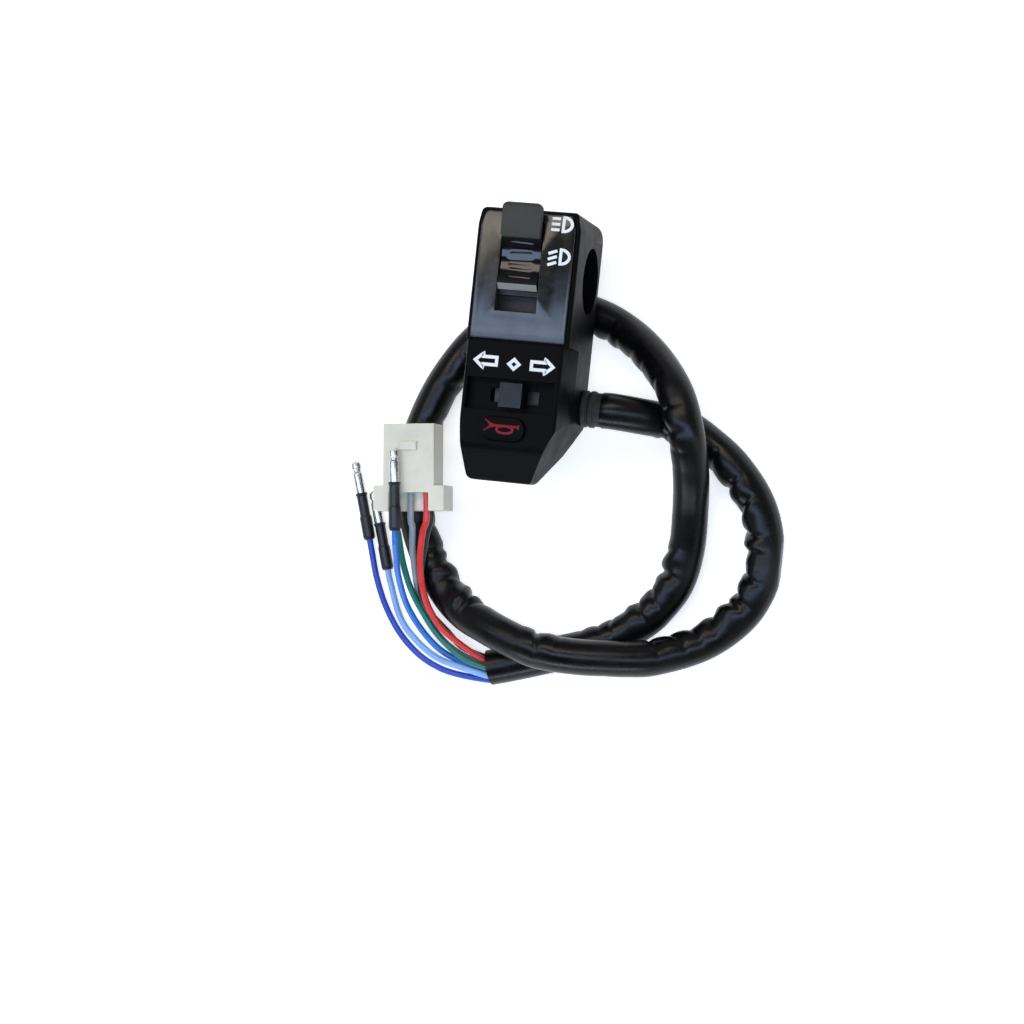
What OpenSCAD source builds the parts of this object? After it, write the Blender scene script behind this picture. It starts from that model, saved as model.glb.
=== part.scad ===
// Handlebar switch cluster for a motorbike: a two-part case that clamps on the bar, with a beam slide,
// a turn signal slide that pushes in to cancel, a horn button and a loose wiring harness.
// Millimetres. Origin at the centre of the bar's bore, +X along the bar, +Y up the case, +Z out of its face.

/* [Handlebar] */
// Diameter of the handlebar tube
bar_d = 22.2; // [22:0.1:23]
// Plastic between the bar and the shelf of the beam switch
bore_wall = 2.5; // [2:0.1:4]
// Plastic behind the bar
clamp_back = 5.9; // [5:0.1:8]
// Plastic above the bar
clamp_top = 8.9; // [8.5:0.1:11]

/* [Case] */
// Width of the case along the bar
case_w = 34.6; // [33:0.2:38]
// How much narrower the case is at its top
top_taper = 2.6; // [0:0.2:4]
// How much narrower the pod's end is
tail_taper = 13; // [8:0.5:14]
// How far the pod's end is set over to the left
tail_shift = 3.6; // [0:0.2:4]
// How far the right edge of the pod's front is set in
pod_draft = 2; // [0.5:0.25:2.5]
// How far the left edge of the pod's front is set in
pod_left_draft = 0.2; // [0.1:0.1:2]
// Wall of the case halves
wall = 2.2; // [1.8:0.1:2.6]
// Radius of the case's top rear edge
rear_top_r = 8; // [4:0.5:9]
// Radius of the case's long rear edges
rear_edge_r = 4; // [2:0.5:5]
// Length of the sloping end of the pod
tail_len = 11; // [9:0.5:16]
// How far the pod's front falls back along its end
tail_fall = 7.6; // [4:0.2:9]
// Height of the pod's end above the rear of the case
heel_rise = 23; // [18:0.5:24]
// Distance from the bar down to the seam under the faceplate
seam_below_bar = 11.9; // [11.5:0.1:16]

/* [Faceplate] */
// Thickness of the faceplate at its crown
face_t = 4.1; // [3.8:0.1:5]
// Rim of the case round the faceplate
rim_t = 1.4; // [1:0.1:2]
// Height of that rim above the faceplate's seat
rim_h = 1.3; // [0.8:0.1:2]
// Width of the seat under the faceplate's edge
seat_w = 1.8; // [1.2:0.1:2]
// Gap round the faceplate
face_gap = 0.15; // [0.1:0.05:0.3]
// Groove under the faceplate's lower lip
seam_gap = 0.8; // [0.4:0.1:1.5]
// Crown radius of the faceplate across the bar's axis
crown_side_r = 80; // [70:1:150]
// Crown radius of the faceplate along the case
crown_long_r = 120; // [110:1:240]
// Step from the faceplate's rim down to the pod
pod_step = 0.8; // [0.4:0.1:2]

/* [Beam slide] */
// Middle of the window along the bar
window_x = -1.3; // [-2:0.1:1]
// Width of the slider
slider_w = 13.1; // [11:0.1:14]
// Length of the slider
slider_len = 22.2; // [20:0.1:23]
// Height of the slider's upper end above the bar's axis
slider_top = 15.2; // [14:0.1:15.5]
// Height of the slider above the faceplate
slider_proud = 0.8; // [0.5:0.1:2]
// Travel between high and low beam
beam_travel = 6.5; // [4:0.1:7]
// Depth of the thumb dish
dish_depth = 2.3; // [1:0.1:2.6]
// Length of the thumb dish
dish_len = 15.5; // [12:0.1:16]
// Length of the thumb pad
pad_len = 11.3; // [9:0.1:13]
// Height of the thumb pad
pad_h = 3.3; // [2:0.1:5]
// How far the pad stands past the slider's upper end
pad_over = 6.1; // [4:0.1:7]
// Height of the carriage under the slider
beam_carriage_h = 3.8; // [3.6:0.1:5]
// How much the carriage is wider than the slider on each side
carriage_lip = 1.9; // [1.2:0.1:2]
// Width of the guide rails on the beam switch's base
rail_w = 1.2; // [1:0.1:1.4]

/* [Turn signal] */
// Depth of the knob's recess
recess_depth = 4; // [3:0.1:5]
// Height of the recess along the case
recess_h = 10.5; // [10:0.1:12]
// Width of the labelled strip above the recess
label_h = 12.7; // [11.5:0.1:15]
// Wall round the recess
recess_wall = 1.4; // [1:0.1:1.6]
// Floor under the recess
recess_floor = 2; // [1.5:0.1:3]
// Width of the knob along the bar
knob_w = 9.5; // [8:0.1:11]
// Height of the knob along the case
knob_h = 8; // [6:0.1:8.5]
// How far the knob stands out of the pod
knob_proud = 2.8; // [1:0.1:5]
// Travel of the knob to each side
turn_travel = 5; // [3:0.1:5.5]
// Travel of the knob when it is pushed in
cancel_travel = 1.5; // [0.8:0.1:1.8]
// Width of the knob's stem along the bar
stem_w = 6; // [5:0.1:7]
// Height of the stem along the case
stem_h = 4; // [3:0.1:4.4]
// Length of the carriage along the bar
turn_carriage_len = 15; // [13:0.1:15.4]
// Width of the carriage along the case
turn_carriage_w = 11; // [10.5:0.1:11.4]
// Depth of the carriage
turn_carriage_h = 8; // [7:0.1:9]

/* [Horn] */
// Middle of the button along the bar
horn_x = -2; // [-2:0.1:2]
// Length of the button
horn_len = 15; // [12:0.1:15.4]
// Height of the button along the case
horn_h = 7.6; // [6.6:0.1:7.8]
// How far the button stands out of the pod
horn_proud = 2; // [1:0.1:3]
// Travel of the button
horn_travel = 2.5; // [1:0.1:3]
// How far the button's flange reaches past it at each end
horn_lip = 1.5; // [1:0.1:1.6]
// Height of the fixed contact posts
post_h = 4; // [3:0.1:5]

/* [Contacts and bases] */
// Thickness of the contact plates
contact_t = 0.4; // [0.3:0.05:0.6]
// Gap between contacts that slide or close
contact_gap = 0.1; // [0.05:0.05:0.2]
// Thickness of the switch bases
base_t = 1.5; // [1.2:0.1:2]
// Radius of the detent balls
ball_r = 1; // [0.8:0.05:1.1]
// Wire of the small springs
small_wire = 0.4; // [0.3:0.05:0.5]
// Wire of the horn spring
horn_wire = 0.6; // [0.4:0.05:0.8]

/* [Fits] */
// Clearance of a sliding piece under a cover
slide_gap = 0.3; // [0.2:0.05:0.4]
// Clearance of a sliding piece in its guide
guide_gap = 0.1; // [0.05:0.05:0.2]
// Clearance round a button or slider in its opening
window_gap = 0.25; // [0.2:0.05:0.4]
// Clearance round a screw
screw_gap = 0.05; // [0.02:0.01:0.1]

/* [Screws] */
// Radius of the case screws
case_screw_r = 1.9; // [1.5:0.1:2]
// Length of the case screws
case_screw_len = 16.5; // [14:0.5:17]
// How deep the case screws' heads sit behind the bar's axis
case_screw_seat = 8; // [7:0.1:9]
// Radius of the small screws
small_screw_r = 1.1; // [0.9:0.05:1.2]
// Length of the small screws
small_screw_len = 5; // [4:0.1:5.2]

/* [Harness] */
// Diameter of the harness sleeve
sleeve_d = 12.6; // [11:0.1:13]
// Diameter of a wire
wire_d = 2.2; // [1.8:0.1:2.4]
// Radius of the grommet's boot
boot_r = 6.2; // [6:0.1:7]
// Length of the grommet's boot
boot_len = 6.9; // [5:0.1:10]
// Radius of the grommet's neck in the case wall
grommet_neck_r = 4.6; // [4:0.1:4.8]
// Width of the connector's body
connector_w = 18; // [17:0.1:20]
// Length of the connector's body in front of its skirt
connector_len = 21; // [18:0.1:26]
// Thickness of the connector
connector_t = 12; // [11:0.1:14]
// Width of the connector's skirt
skirt_w = 25; // [22:0.1:28]
// Length of the connector's skirt
skirt_len = 8.6; // [6:0.1:10]
// Spacing of the connector's ways
way_pitch = 5.5; // [5:0.1:5.6]
// Radius of a bullet terminal
bullet_r = 1.75; // [1.5:0.05:1.9]
// Bare length of a bullet terminal
bullet_len = 11.5; // [8:0.1:12]
// Radius of a bullet's boot
bullet_boot_r = 2.1; // [2:0.05:2.15]

/* [Hidden] */
$fn = 48;

// Finishes
case_black = "#1a1b1d";
gloss_black = "#0d0e10";
pad_grey = "#4a4e46";
base_brown = "#2c2620";
brass = "#c8a24a";
steel = "#b8bcc0";
nylon = "#e6e6da";

// Heights through the upper case, from the bar to the faceplate
bar_r = bar_d / 2;
rear_z = -bar_r - clamp_back;
shelf_z = bar_r + bore_wall;
base_top_z = shelf_z + base_t;
beam_contact_z = base_top_z + contact_t + contact_gap;
beam_carriage_z = beam_contact_z + contact_t;
slider_z = beam_carriage_z + beam_carriage_h;
face_under_z = slider_z + slide_gap;
face_top_z = face_under_z + face_t;
rim_z = face_under_z + rim_h;
slider_top_z = face_top_z + slider_proud;

// Places along the case, from its top to the pod's end
top_y = bar_r + clamp_top;
seam_y = -bar_r - seam_below_bar;
groove_y = seam_y - seam_gap;
cavity_top_y = -shelf_z;
recess_top_y = seam_y - label_h;
recess_bottom_y = recess_top_y - recess_h;
knob_y = (recess_top_y + recess_bottom_y) / 2;
horn_land = 0.35;
horn_strip = 2.2;
taper_drop = 1;
back_rise = 1.2;
horn_y = recess_bottom_y - recess_wall - horn_land - window_gap - horn_h / 2;
slope_y = horn_y - horn_h / 2 - horn_strip;
bottom_y = slope_y - tail_len;
taper_y = recess_bottom_y - taper_drop;
back_top_y = recess_bottom_y + back_rise;

// Widths
half_w = case_w / 2;
top_half_w = half_w - top_taper / 2;
tail_right_x = half_w - tail_taper / 2 - tail_shift;
tail_left_x = tail_taper / 2 - half_w - tail_shift;
pod_right_x = half_w - pod_draft;
pod_left_x = pod_left_draft - half_w;
seat_half_w = half_w - rim_t - seat_w;
draft_z = 6;

// Heights through the pod, from its front to the rear
pod_front_z = rim_z - pod_step;
tail_front_z = pod_front_z - tail_fall;
recess_z = pod_front_z - recess_depth;
recess_under_z = recess_z - recess_floor;
turn_top_z = recess_under_z - slide_gap;
turn_low_z = turn_top_z - turn_carriage_h;
turn_base_top_z = turn_low_z - 2 * contact_t - contact_gap;
turn_base_z = turn_base_top_z - base_t;
pod_under_z = pod_front_z - wall;
horn_flange_t = 1.6;
horn_flange_top_z = pod_under_z - contact_gap;
horn_flange_z = horn_flange_top_z - horn_flange_t;
horn_top_z = pod_front_z + horn_proud;
horn_base_top_z = horn_flange_z - contact_t - horn_travel - contact_gap - post_h;
horn_base_z = horn_base_top_z - base_t;
heel_z = rear_z + heel_rise;
back_mid_rise = 8;
back_mid_z = rear_z + back_mid_rise;

// Radii of the case's edges and bends
edge_r = 2;
rim_edge_r = 1;
pod_edge_r = 1.5;
slope_r = 6;
heel_r = 1.5;
back_bend_r = 8;
back_top_r = 6;
draft_r = 8;
taper_r = 4;
face_corner_r = 1.5;

// Screws: places, heads and bosses
case_screw_inset = 6.5;
case_screw_over = 4.9;
case_screw_under = 6.4;
case_head_lip = 1.4;
case_boss_wall = 1.6;
case_boss_drop = 1;
small_head_lip = 0.6;
small_boss_wall = 1.2;
beam_screw_inset = 2.2;
beam_screw_drop = 6.5;
beam_screw_rise = 1.1;
turn_screw_inset = 5;
horn_screw_span = 5.2;
horn_screw_drop = 1.9;
case_screw_x = half_w - case_screw_inset;
case_screw_top_y = bar_r + case_screw_over;
case_screw_low_y = -bar_r - case_screw_under;
case_screw_places = [for (x = [-1, 1], y = [case_screw_top_y, case_screw_low_y]) [x * case_screw_x, y]];
case_head_r = case_screw_r + case_head_lip;
case_head_h = 2.6;
case_boss_r = case_head_r + case_boss_wall;
head_room = 0.3;
small_head_r = small_screw_r + small_head_lip;
small_head_h = 1.2;
small_boss_r = small_screw_r + small_boss_wall;
beam_screw_x = seat_half_w - beam_screw_inset;
beam_screw_places = [[beam_screw_x, top_y - beam_screw_drop], [beam_screw_x, beam_screw_rise - bar_r]];
turn_screw_places = [for (x = [-1, 1])
  [x * (half_w - turn_screw_inset), recess_top_y + recess_wall + small_boss_r]];
horn_screw_places = [for (x = [-1, 1])
  [horn_x + x * horn_screw_span, horn_y - horn_h / 2 - small_boss_r - horn_screw_drop]];

// Grommet and harness places
grommet_drop = 0.6;
grommet_lip = 0.7;
grommet_y = knob_y - grommet_drop;
grommet_flange_r = grommet_neck_r + grommet_lip;
grommet_z = rear_z + wall + slide_gap + grommet_flange_r;
grommet_flange_t = 1.4;
inner_face_x = half_w - wall - contact_gap - grommet_flange_t;
boot_end_x = half_w + contact_gap + boot_len;
sleeve_flat = 0.1;
rest_gap = 0.3;
sleeve_run = 4;
sleeve_rest_z = rear_z - rest_gap - sleeve_d / 2;
floor_z = sleeve_rest_z - (0.5 - sleeve_flat) * sleeve_d;
lead_d = 3;

// Route of the sleeve: x, y and height over the place where it lies flat. The first two points leave the boot.
sleeve_points = [
  [36, -42, 11.2], [43, -42.5, 6.2], [50, -43.8, 2], [57.5, -48, 0], [67.5, -55.5, 0], [76.5, -66.5, 0],
  [81, -79, 0], [81, -92.5, 0], [75.5, -105, 0], [64, -115.5, 1.2], [49, -122, 7.2], [40, -123.5, 10.8],
  [33, -124, 12.6], [26, -124.5, 13.4], [18.5, -124.5, 13.6], [11, -124, 13.5], [6, -123, 13.2],
  [-2, -120.5, 11.4], [-9.5, -118, 8.8], [-18.5, -114.5, 4.8], [-27, -108, 1.2], [-35, -97, 0],
  [-40.5, -84.5, 0], [-43, -71.5, 0], [-43, -58.5, 0], [-39.5, -45.5, 0], [-33.5, -32.5, 0],
  [-25, -20.5, 0], [-13, -11, 0], [1, -7, 0], [15, -8.5, 0], [28, -14.5, 2], [39.5, -23.5, 8.5],
  [48.5, -34, 15.6], [53.5, -46, 17.6], [55.5, -59, 11.8], [55.5, -72, 4.5], [55, -85, 0.8],
  [52.5, -96.5, 0], [47, -105.5, 0], [42.5, -110.5, 0], [36.5, -115, 0], [30, -119, 0], [23, -122, 0],
  [15.5, -124.5, 0], [8, -127, 0], [-1, -130, 0], [-9, -132.5, 0]];
sleeve_route = concat(
  [[boot_end_x, grommet_y, grommet_z], [boot_end_x + sleeve_run, grommet_y, grommet_z]],
  [for (p = sleeve_points) [p[0], p[1], sleeve_rest_z + p[2]]]);
sleeve_end = sleeve_route[len(sleeve_route) - 1];
sleeve_end_dir = unit(sleeve_end - sleeve_route[len(sleeve_route) - 2]);
sleeve_end_side = unit(cross(sleeve_end_dir, [0, 0, 1]));
sleeve_end_up = cross(sleeve_end_side, sleeve_end_dir);

// Place and turn of the connector, on top of the sleeve, and of the bullets: boot end, turn about Z
connector_at = [-38.5, -81.7];
connector_turn = 6;
connector_z = rear_z;
way_z = connector_z + connector_t / 2;
way_rise = 2.8;
cavity_side = 3.4;
wire_entry = 6.2;
bullet_boot_len = 16.5;
bullets = [
  [[-57.6, -93.3, floor_z + bullet_boot_r + rest_gap], 17],
  [[-49.8, -103, floor_z + bullet_boot_r + rest_gap], 17],
  [[-41.7, -89, connector_z + connector_t + bullet_boot_r + rest_gap], 7]];

// Routes of the wires between the sleeve's end and the connector or a bullet: x, y and height over the floor
black_points = [[-19.8, -126.6, 4.2], [-25.6, -121.8, 4.6], [-32.2, -114.8, 9.5], [-34.2, -109, 12.2],
  [-34.6, -101.5, 13.4], [-33.8, -90, 14.4]];
red_points = [[-18.8, -125.8, 8.6], [-25.8, -121, 10.4], [-30.8, -114.2, 12.4], [-33.2, -106.6, 15.4],
  [-34.4, -97.4, 17.4], [-33.8, -88.4, 19.4]];
grey_points = [[-19.8, -129.4, 2.8], [-27.4, -125.2, 2.2], [-33, -118.4, 4], [-36.2, -110.8, 7.2],
  [-37.4, -101.2, 12.4], [-37.9, -93.4, 16.2], [-37.8, -87, 19]];
teal_points = [[-18.8, -130, 7.2], [-27.4, -124, 7], [-33.6, -116.8, 7.8], [-38.4, -108.4, 10.8],
  [-41, -99.4, 15.2], [-42.4, -90.6, 18.8]];
blue_points = [[-19.6, -132, 2.6], [-28, -128.4, 3.2], [-35, -122, 5], [-39.8, -113.8, 9.5],
  [-41.8, -104.4, 16], [-41.6, -97.2, 22]];
light_points = [[-18.8, -133.6, 5.6], [-28.6, -131.4, 3.4], [-37.2, -126.2, 2], [-43.8, -119, 1.8]];
royal_points = [[-19, -136.4, 3.2], [-27.4, -135, 2], [-35.6, -131.2, 1.8], [-43.2, -124.6, 1.8],
  [-49.4, -115.8, 1.8], [-53.6, -106.4, 2.2]];

// Where each wire leaves the sleeve's end: across, and up
black_start = [-4, -1.3];
red_start = [-3.2, 1.6];
grey_start = [-1.2, -2];
teal_start = [-0.5, 2.2];
blue_start = [1.7, -2.2];
light_start = [2.3, 1.8];
royal_start = [4, -0.7];

// Routes of the leads inside the pod, between the grommet and the switch bases
turn_lead_start = [inner_face_x, grommet_y, grommet_z + 2.3];
horn_lead_start = [inner_face_x, grommet_y - 2, grommet_z - 1.2];
beam_lead_start = [inner_face_x, grommet_y + 2, grommet_z - 1.2];
lead_run = [-4.3, 0, 0];
wire_run = 3;
exit_run = 1.5;
bullet_run = 4;
turn_lead_points = [[3.5, -41.3, -4.5], [0, -41, -0.5]];
horn_lead_points = [[3.5, -48, -6.5], [-0.5, -52.5, -1.5], [-2, -54, 4]];
beam_lead_points = [[3.5, -33, -8.5], [0.5, -26.5, -4.5], [-1, -20, 2], [-1, -16.4, 8]];

function unit(v) = v / norm(v);

// Arc of radius r in the corner q between p and s, as points
function corner(p, q, s, r, steps = 5) =
  r <= 0 ? [q] :
  let (a = unit(p - q), b = unit(s - q), half = acos(a * b) / 2)
  let (c = q + unit(a + b) * r / sin(half), from = q + a * r / tan(half) - c, to = q + b * r / tan(half) - c)
  let (start = atan2(from[1], from[0]), raw = atan2(to[1], to[0]) - start)
  let (sweep = raw > 180 ? raw - 360 : raw < -180 ? raw + 360 : raw)
  [for (i = [0 : steps]) c + r * [cos(start + sweep * i / steps), sin(start + sweep * i / steps)]];

// Outline through corners, each given as a point and its radius
function rounded(corners) =
  let (n = len(corners))
  [for (i = [0 : n - 1])
    each corner(corners[(i + n - 1) % n][0], corners[i][0], corners[(i + 1) % n][0], corners[i][1])];

// Outline given by its right half, from top to bottom, and mirrored to the left
function both_sides(right) =
  concat(right, [for (i = [len(right) - 1 : -1 : 0]) [[-right[i][0][0], right[i][0][1]], right[i][1]]]);

// Outlines of the case: from the side (along, out), from the front (across, along) and in section (across, out)
side_outline = rounded([
  [[top_y, rim_z], edge_r], [[groove_y, rim_z], 0], [[groove_y, pod_front_z], 0],
  [[slope_y, pod_front_z], slope_r], [[bottom_y, tail_front_z], edge_r], [[bottom_y, heel_z], heel_r],
  [[slope_y, back_mid_z], back_bend_r],
  [[back_top_y, rear_z], back_top_r], [[top_y, rear_z], rear_top_r]]);
front_outline = rounded([
  [[top_half_w, top_y], edge_r], [[half_w, bar_r + bore_wall], 0], [[half_w, taper_y], taper_r],
  [[tail_right_x, bottom_y], edge_r], [[tail_left_x, bottom_y], edge_r],
  [[-half_w, taper_y], taper_r], [[-half_w, bar_r + bore_wall], 0], [[-top_half_w, top_y], edge_r]]);
upper_section = rounded(both_sides([[[half_w, rim_z], rim_edge_r], [[half_w, rear_z], rear_edge_r]]));
pod_section = rounded([
  [[pod_right_x, pod_front_z], pod_edge_r], [[half_w, draft_z], draft_r], [[half_w, rear_z], rear_edge_r],
  [[-half_w, rear_z], rear_edge_r], [[-half_w, draft_z], 0], [[pod_left_x, pod_front_z], pod_edge_r]]);

// The same outlines one wall further in, for the hollow of the pod
hollow_side = [[cavity_top_y, pod_under_z], [slope_y, pod_under_z], [bottom_y + wall, tail_front_z - wall / 2],
  [bottom_y + wall, heel_z + wall / 2], [slope_y + wall / 2, back_mid_z + wall],
  [back_top_y + wall / 2, rear_z + wall], [cavity_top_y, rear_z + wall]];
hollow_front = [[half_w - wall, 0], [half_w - wall, taper_y], [tail_right_x - wall, bottom_y],
  [tail_left_x + wall, bottom_y], [wall - half_w, taper_y], [wall - half_w, 0]];
hollow_section = [[pod_right_x - wall, pod_front_z], [half_w - wall, draft_z], [half_w - wall, rear_z],
  [wall - half_w, rear_z], [wall - half_w, draft_z], [pod_left_x + wall, pod_front_z]];
far = 200;
past = 1;

// Outline (along, out) carried along the bar
module along_x(w) {
  rotate([90, 0, 90]) linear_extrude(w, center = true) children();
}

// Outline (across, out) carried along the case from y0 up to y1
module along_y(y0, y1) {
  translate([0, y1, 0]) rotate([90, 0, 0]) linear_extrude(y1 - y0) children();
}

// Outline (across, along) carried out of the face from z0 to z1
module along_z(z0, z1) {
  translate([0, 0, z0]) linear_extrude(z1 - z0) children();
}

// Box from its low corner to its high corner
module block(low, high) {
  translate(low) cube(high - low);
}

// Round peg of radius r at a place, from z0 to z1
module peg(at, r, z0, z1) {
  translate([at[0], at[1], z0]) cylinder(r = r, h = z1 - z0);
}

// Long hole with round ends, w by h overall
module stadium(w, h) {
  square([w - h, h], center = true);
  for (x = [-1, 1]) translate([x * (w - h) / 2, 0]) circle(d = h);
}

// Pan-head screw with a cross recess: the head's underside at the origin, the shank along +Z
module pan_screw(r, length, head_r, head_h) {
  difference() {
    union() {
      cylinder(r = r, h = length);
      translate([0, 0, -head_h]) cylinder(r = head_r, h = head_h);
    }
    for (turn = [0, 90])
      rotate([0, 0, turn]) translate([-head_r * 0.6, -head_r * 0.13, -head_h]) cube(head_r * [1.2, 0.26, 0.4]);
  }
}

// Ring of a tube about p: sides corners square to the direction dir, none lower than low
function ring(p, dir, d, sides, ref, low) =
  let (across = unit(cross(dir, ref)), up = cross(across, dir))
  [for (i = [0 : sides - 1])
    let (a = (i + 0.5) * 360 / sides, q = p + d / 2 * (cos(a) * across + sin(a) * up))
    [q[0], q[1], max(q[2], low)]];

// Tube of diameter d that follows points, with square ends
module tube(points, d, sides, ref = [0, 0, 1], low = -far) {
  n = len(points);
  rings = [for (i = [0 : n - 1])
    each ring(points[i], unit(points[min(i + 1, n - 1)] - points[max(i - 1, 0)]), d, sides, ref, low)];
  walls = [for (i = [0 : n - 2], j = [0 : sides - 1])
    let (a = i * sides + j, b = i * sides + (j + 1) % sides)
    each [[a, b, b + sides], [a, b + sides, a + sides]]];
  first_end = [for (j = [1 : sides - 2]) [0, j + 1, j]];
  last_start = (n - 1) * sides;
  last_end = [for (j = [1 : sides - 2]) [last_start, last_start + j, last_start + j + 1]];
  polyhedron(rings, concat(walls, first_end, last_end), convexity = 10);
}

// Points of a coil spring that stands on the origin
function coil(r, height, turns) =
  [for (i = [0 : turns * 8]) [r * cos(i * 45), r * sin(i * 45), height * i / (turns * 8)]];

// Points between the points of a route, steps to each stretch
function fine(points, steps) =
  [for (i = [0 : len(points) - 2], k = [0 : steps - 1]) points[i] + (points[i + 1] - points[i]) * k / steps];

// Least gap of a tube of diameter d to itself, measured on points that are at least apart places away
function least_gap(points, d, apart) =
  min([for (i = [0 : len(points) - 1 - apart])
    min([for (j = [i + apart : len(points) - 1]) norm(points[i] - points[j])])]) - d;

// Coil spring with wire ends square: outer radius r, between z0 and z1
module spring(r, wire, turns, z0, z1) {
  points = coil(r - wire / 2, z1 - z0 - wire, turns);
  echo(spring_gap = least_gap(points, wire, 6));
  translate([0, 0, z0 + wire / 2]) tube(points, wire, 6);
}

module outer_body() {
  intersection() {
    along_x(case_w) polygon(side_outline);
    along_z(-far, far) polygon(front_outline);
    union() {
      along_y(groove_y, far) polygon(upper_section);
      along_y(-far, groove_y) polygon(pod_section);
    }
  }
}

module pod_hollow() {
  intersection() {
    along_x(case_w) polygon(hollow_side);
    along_z(-far, far) polygon(hollow_front);
    along_y(-far, 0) polygon(hollow_section);
  }
}

module bar_bore() {
  rotate([0, 90, 0]) cylinder(r = bar_r, h = case_w + 2 * past, center = true, $fn = 96);
}

// Outline of the faceplate, or of its seat, a margin inside the case's outline
function face_outline(margin, low_y) = rounded(both_sides([
  [[top_half_w - margin, top_y - margin], face_corner_r], [[half_w - margin, bar_r + bore_wall], 0],
  [[half_w - margin, low_y], 0]]));

window_low_y = slider_top - slider_len - beam_travel - window_gap;
window_w = slider_w + 2 * window_gap;
beam_cavity_rise = 2.5;

module front_case() {
  color(case_black) difference() {
    union() {
      difference() {
        intersection() {
          outer_body();
          block([-far, -far, 0], [far, far, far]);
        }
        pod_hollow();
        block([-seat_half_w, seam_y + beam_cavity_rise, shelf_z],
          [seat_half_w, top_y - wall, face_under_z + past]);
      }
      intersection() {
        outer_body();
        union() {
          block([-half_w, recess_bottom_y - recess_wall, recess_under_z],
            [half_w, recess_top_y + recess_wall, pod_front_z]);
          for (p = case_screw_places) if (p[1] < 0) peg(p, case_boss_r, 0, shelf_z - case_boss_drop);
          for (p = turn_screw_places) peg(p, small_boss_r, turn_base_top_z, pod_front_z);
          for (p = horn_screw_places) peg(p, small_boss_r, horn_base_top_z, pod_front_z);
        }
      }
    }
    bar_bore();
    along_z(face_under_z, far) polygon(face_outline(rim_t, groove_y));
    block([pod_left_x + recess_wall, recess_bottom_y, recess_z],
      [pod_right_x - recess_wall, recess_top_y, far]);
    translate([0, knob_y, recess_under_z - past]) linear_extrude(far)
      square([stem_w + 2 * (turn_travel + window_gap), stem_h + 2 * window_gap], center = true);
    translate([horn_x, horn_y, pod_under_z - past]) linear_extrude(far)
      stadium(horn_len + 2 * window_gap, horn_h + 2 * window_gap);
    for (p = case_screw_places)
      peg(p, case_screw_r + screw_gap, -past, case_screw_len - case_screw_seat + head_room);
    for (p = beam_screw_places)
      peg(p, small_screw_r + screw_gap, base_top_z - small_screw_len - head_room, shelf_z + past);
    for (p = turn_screw_places)
      peg(p, small_screw_r + screw_gap, 0, turn_base_z + small_screw_len + head_room);
    for (p = horn_screw_places)
      peg(p, small_screw_r + screw_gap, 0, horn_base_z + small_screw_len + head_room);
  }
}

module faceplate() {
  color(gloss_black) difference() {
    intersection() {
      along_z(face_under_z, face_top_z) polygon(face_outline(rim_t + face_gap, seam_y));
      translate([0, 0, face_top_z - crown_side_r]) rotate([90, 0, 0])
        cylinder(r = crown_side_r, h = far, center = true, $fn = 180);
      translate([0, (top_y + seam_y) / 2, face_top_z - crown_long_r]) rotate([0, 90, 0])
        cylinder(r = crown_long_r, h = far, center = true, $fn = 180);
    }
    block([window_x - window_w / 2, window_low_y, 0], [window_x + window_w / 2, slider_top + window_gap, far]);
  }
}

module rear_case() {
  color(case_black) difference() {
    union() {
      difference() {
        intersection() {
          outer_body();
          block([-far, -far, -far], [far, far, 0]);
        }
        pod_hollow();
      }
      intersection() {
        outer_body();
        for (p = case_screw_places) if (p[1] < 0) peg(p, case_boss_r, rear_z, 0);
      }
    }
    bar_bore();
    for (p = case_screw_places) {
      peg(p, case_screw_r + screw_gap, -case_screw_seat - past, past);
      peg(p, case_head_r + head_room, rear_z - past, -case_screw_seat);
    }
    translate([0, grommet_y, grommet_z]) rotate([0, 90, 0])
      cylinder(r = grommet_neck_r + screw_gap, h = far);
  }
}

module case_screws() {
  color(steel) for (p = case_screw_places) translate([p[0], p[1], -case_screw_seat])
    pan_screw(case_screw_r, case_screw_len, case_head_r, case_head_h);
}

// Middle of the dish along the case, and the radius that gives its length and depth
slider_low = slider_top - slider_len;
slider_bevel_len = 2.1;
slider_bevel_h = 1.9;
slider_edge_r = 0.4;
dish_low = slider_low + slider_bevel_len;
dish_r = (pow(dish_len / 2, 2) + pow(dish_depth, 2)) / (2 * dish_depth);

module dimmer_slider() {
  side = rounded([[[slider_top, slider_z], 0], [[slider_top, slider_top_z], 0],
    [[dish_low, slider_top_z], slider_edge_r], [[slider_low, slider_top_z - slider_bevel_h], slider_edge_r],
    [[slider_low, slider_z], 0]]);
  color(gloss_black) difference() {
    translate([window_x, 0, 0]) along_x(slider_w) polygon(side);
    translate([window_x, dish_low + dish_len / 2, slider_top_z - dish_depth + dish_r]) rotate([0, 90, 0])
      cylinder(r = dish_r, h = slider_w + 2 * past, center = true, $fn = 96);
  }
}

module dimmer_thumb_pad() {
  pad_top = slider_top + pad_over;
  pad_low = pad_top - pad_len;
  pad_fall = 1.2;
  side = rounded([[[pad_low, slider_top_z], 0], [[pad_low, slider_top_z + pad_h - pad_fall], 1.2],
    [[pad_top, slider_top_z + pad_h], 1.6], [[pad_top, slider_top_z], 0.6]]);
  front = rounded(both_sides([[[slider_w / 2, pad_top], 2], [[slider_w / 2, pad_low], 0.8]]));
  color(pad_grey) translate([window_x, 0, 0]) intersection() {
    along_x(slider_w) polygon(side);
    along_z(0, far) polygon(front);
  }
}

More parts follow.
